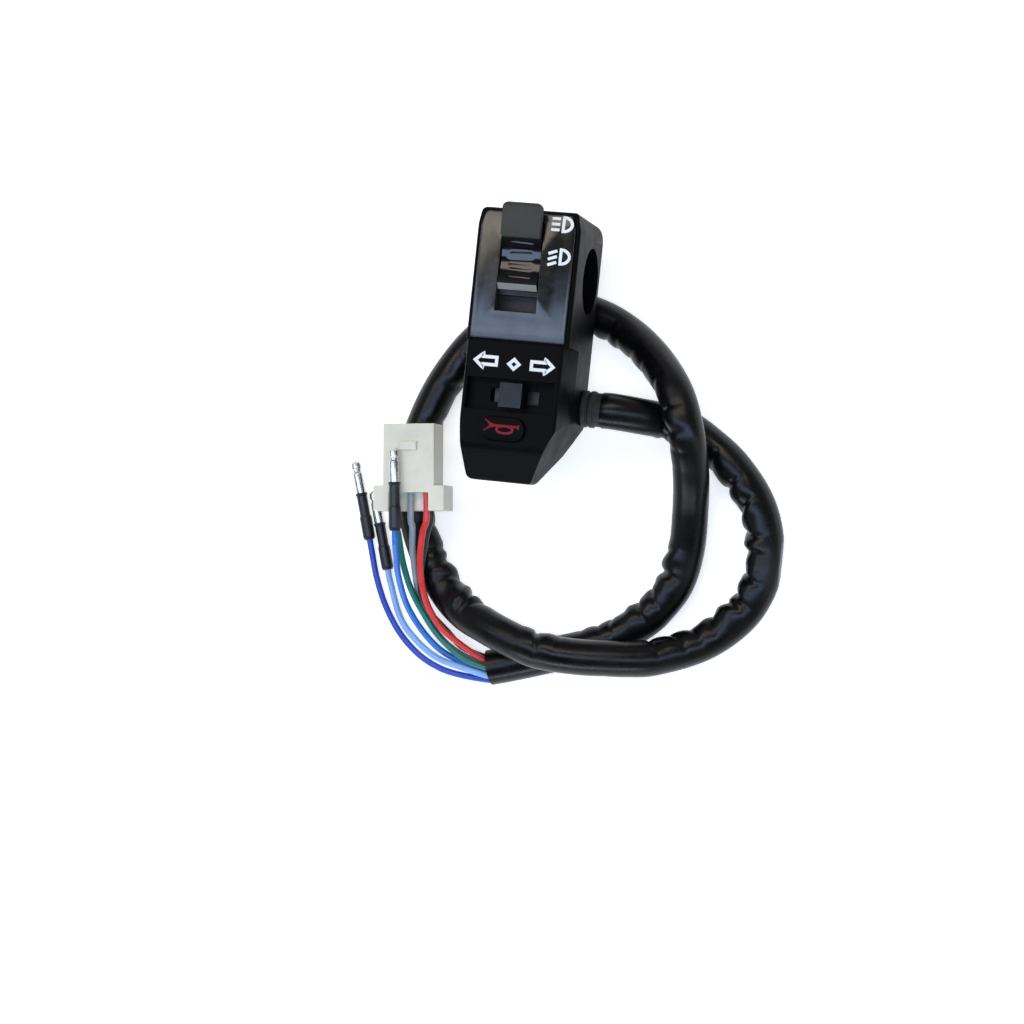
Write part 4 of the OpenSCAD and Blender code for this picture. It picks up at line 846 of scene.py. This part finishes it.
def place_floor(scene):
    """White floor: it takes the shadow, and for the camera and reflections it also glows faintly, up to white."""
    size = 6.0
    corners = [(-size, -size, FLOOR_Z), (size, -size, FLOOR_Z), (size, size, FLOOR_Z), (-size, size, FLOOR_Z)]
    mesh = bpy.data.meshes.new("floor")
    mesh.from_pydata(corners, [], [(0, 1, 2, 3)])
    floor = bpy.data.objects.new("floor", mesh)
    scene.collection.objects.link(floor)
    material = bpy.data.materials.new("floor_white_paper")
    material.use_nodes = True
    tree = material.node_tree
    tree.nodes.clear()
    matt = add(tree, "ShaderNodeBsdfDiffuse", {"Color": (0.86, 0.86, 0.86, 1)})
    rays = add(tree, "ShaderNodeLightPath")
    seen = add(tree, "ShaderNodeMath", {}, {0: rays.outputs["Is Camera Ray"], 1: rays.outputs["Is Glossy Ray"]},
               operation="MAXIMUM")
    seen = add(tree, "ShaderNodeMath", {}, {0: seen.outputs["Value"], 1: rays.outputs["Is Transmission Ray"]},
               operation="MAXIMUM")
    level = add(tree, "ShaderNodeMath", {1: 0.62}, {0: seen.outputs["Value"]}, operation="MULTIPLY")
    glow = add(tree, "ShaderNodeEmission", {"Color": (1, 1, 1, 1)}, {"Strength": level.outputs["Value"]})
    both = add(tree, "ShaderNodeAddShader", {}, {0: matt.outputs["BSDF"], 1: glow.outputs["Emission"]})
    add(tree, "ShaderNodeOutputMaterial", links={"Surface": both.outputs["Shader"]})
    mesh.materials.append(material)


def place_lights(scene):
    """Four softboxes and a pale room: a warm and a bluish long one above, a low one in front and a faint one right."""
    boxes = {
        "softbox_top": ((-0.1, 0.26, 0.62), (0.9, 0.2), 2.2, "#fff3e2"),
        "softbox_low": ((0.0, -0.11, 0.62), (1.4, 0.18), 3.8, "#c4dcff"),
        "softbox_front": ((-0.05, -0.72, 0.22), (0.9, 0.14), 2.6, "#e8f0ff"),
        "softbox_side": ((0.75, -0.2, 0.35), (0.3, 0.5), 0.5, "#f4f6ff"),
    }
    for name, (place, size, power, code) in boxes.items():
        data = bpy.data.lights.new(name, "AREA")
        data.shape, data.size, data.size_y = "RECTANGLE", size[0], size[1]
        data.energy, data.color = power, linear(code)
        lamp = bpy.data.objects.new(name, data)
        scene.collection.objects.link(lamp)
        lamp.location = place
        aim = Vector((0, -0.05, 0)) - Vector(place)
        lamp.rotation_euler = aim.to_track_quat("-Z", "Y").to_euler()
    world = bpy.data.worlds.new("pale_room")
    scene.world = world
    world.use_nodes = True
    tree = world.node_tree
    tree.nodes.clear()
    place = add(tree, "ShaderNodeTexCoord").outputs["Generated"]
    height = add(tree, "ShaderNodeSeparateXYZ", links={"Vector": place})
    level = add(tree, "ShaderNodeMapRange", {"From Min": 0.05, "From Max": 0.8, "To Min": 0.5, "To Max": 0.06},
                {"Value": height.outputs["Z"]})
    sky = add(tree, "ShaderNodeBackground", {"Color": (1, 1, 1, 1)}, {"Strength": level.outputs["Result"]})
    add(tree, "ShaderNodeOutputWorld", links={"Surface": sky.outputs["Background"]})


class CLUSTER_PT_panel(bpy.types.Panel):
    """Lists the sizes, the colours and the steps of the switch cluster"""

    bl_idname = "CLUSTER_PT_panel"
    bl_label = "Switch cluster"
    bl_space_type = "VIEW_3D"
    bl_region_type = "UI"
    bl_category = "Switch cluster"

    def draw(self, context):
        for step in STEPS:
            self.layout.operator(step.bl_idname)
        for group in (context.scene.cluster_sizes, context.scene.cluster_colours):
            for name in group.__annotations__:
                self.layout.prop(group, name)


STEPS = (CLUSTER_OT_stage, CLUSTER_OT_sleeve, CLUSTER_OT_connector, CLUSTER_OT_bullets, CLUSTER_OT_wires,
         CLUSTER_OT_grommet, CLUSTER_OT_leads, CLUSTER_OT_springs, CLUSTER_OT_works, CLUSTER_OT_case,
         CLUSTER_OT_switches, CLUSTER_OT_ribs, CLUSTER_OT_signs)
CLASSES = (ClusterSizes, ClusterColours, *STEPS, CLUSTER_PT_panel)


def register():
    """Registers the classes and puts the sizes and colours on the scene."""
    for item in CLASSES:
        bpy.utils.register_class(item)
    bpy.types.Scene.cluster_sizes = PointerProperty(type=ClusterSizes)
    bpy.types.Scene.cluster_colours = PointerProperty(type=ClusterColours)


def unregister():
    """Takes the sizes, colours and classes away again."""
    del bpy.types.Scene.cluster_sizes, bpy.types.Scene.cluster_colours
    for item in reversed(CLASSES):
        bpy.utils.unregister_class(item)


def main():
    """Builds every piece in order."""
    register()
    for step in STEPS:
        group, name = step.bl_idname.split(".")
        getattr(getattr(bpy.ops, group), name)()


if __name__ == "__main__":
    main()
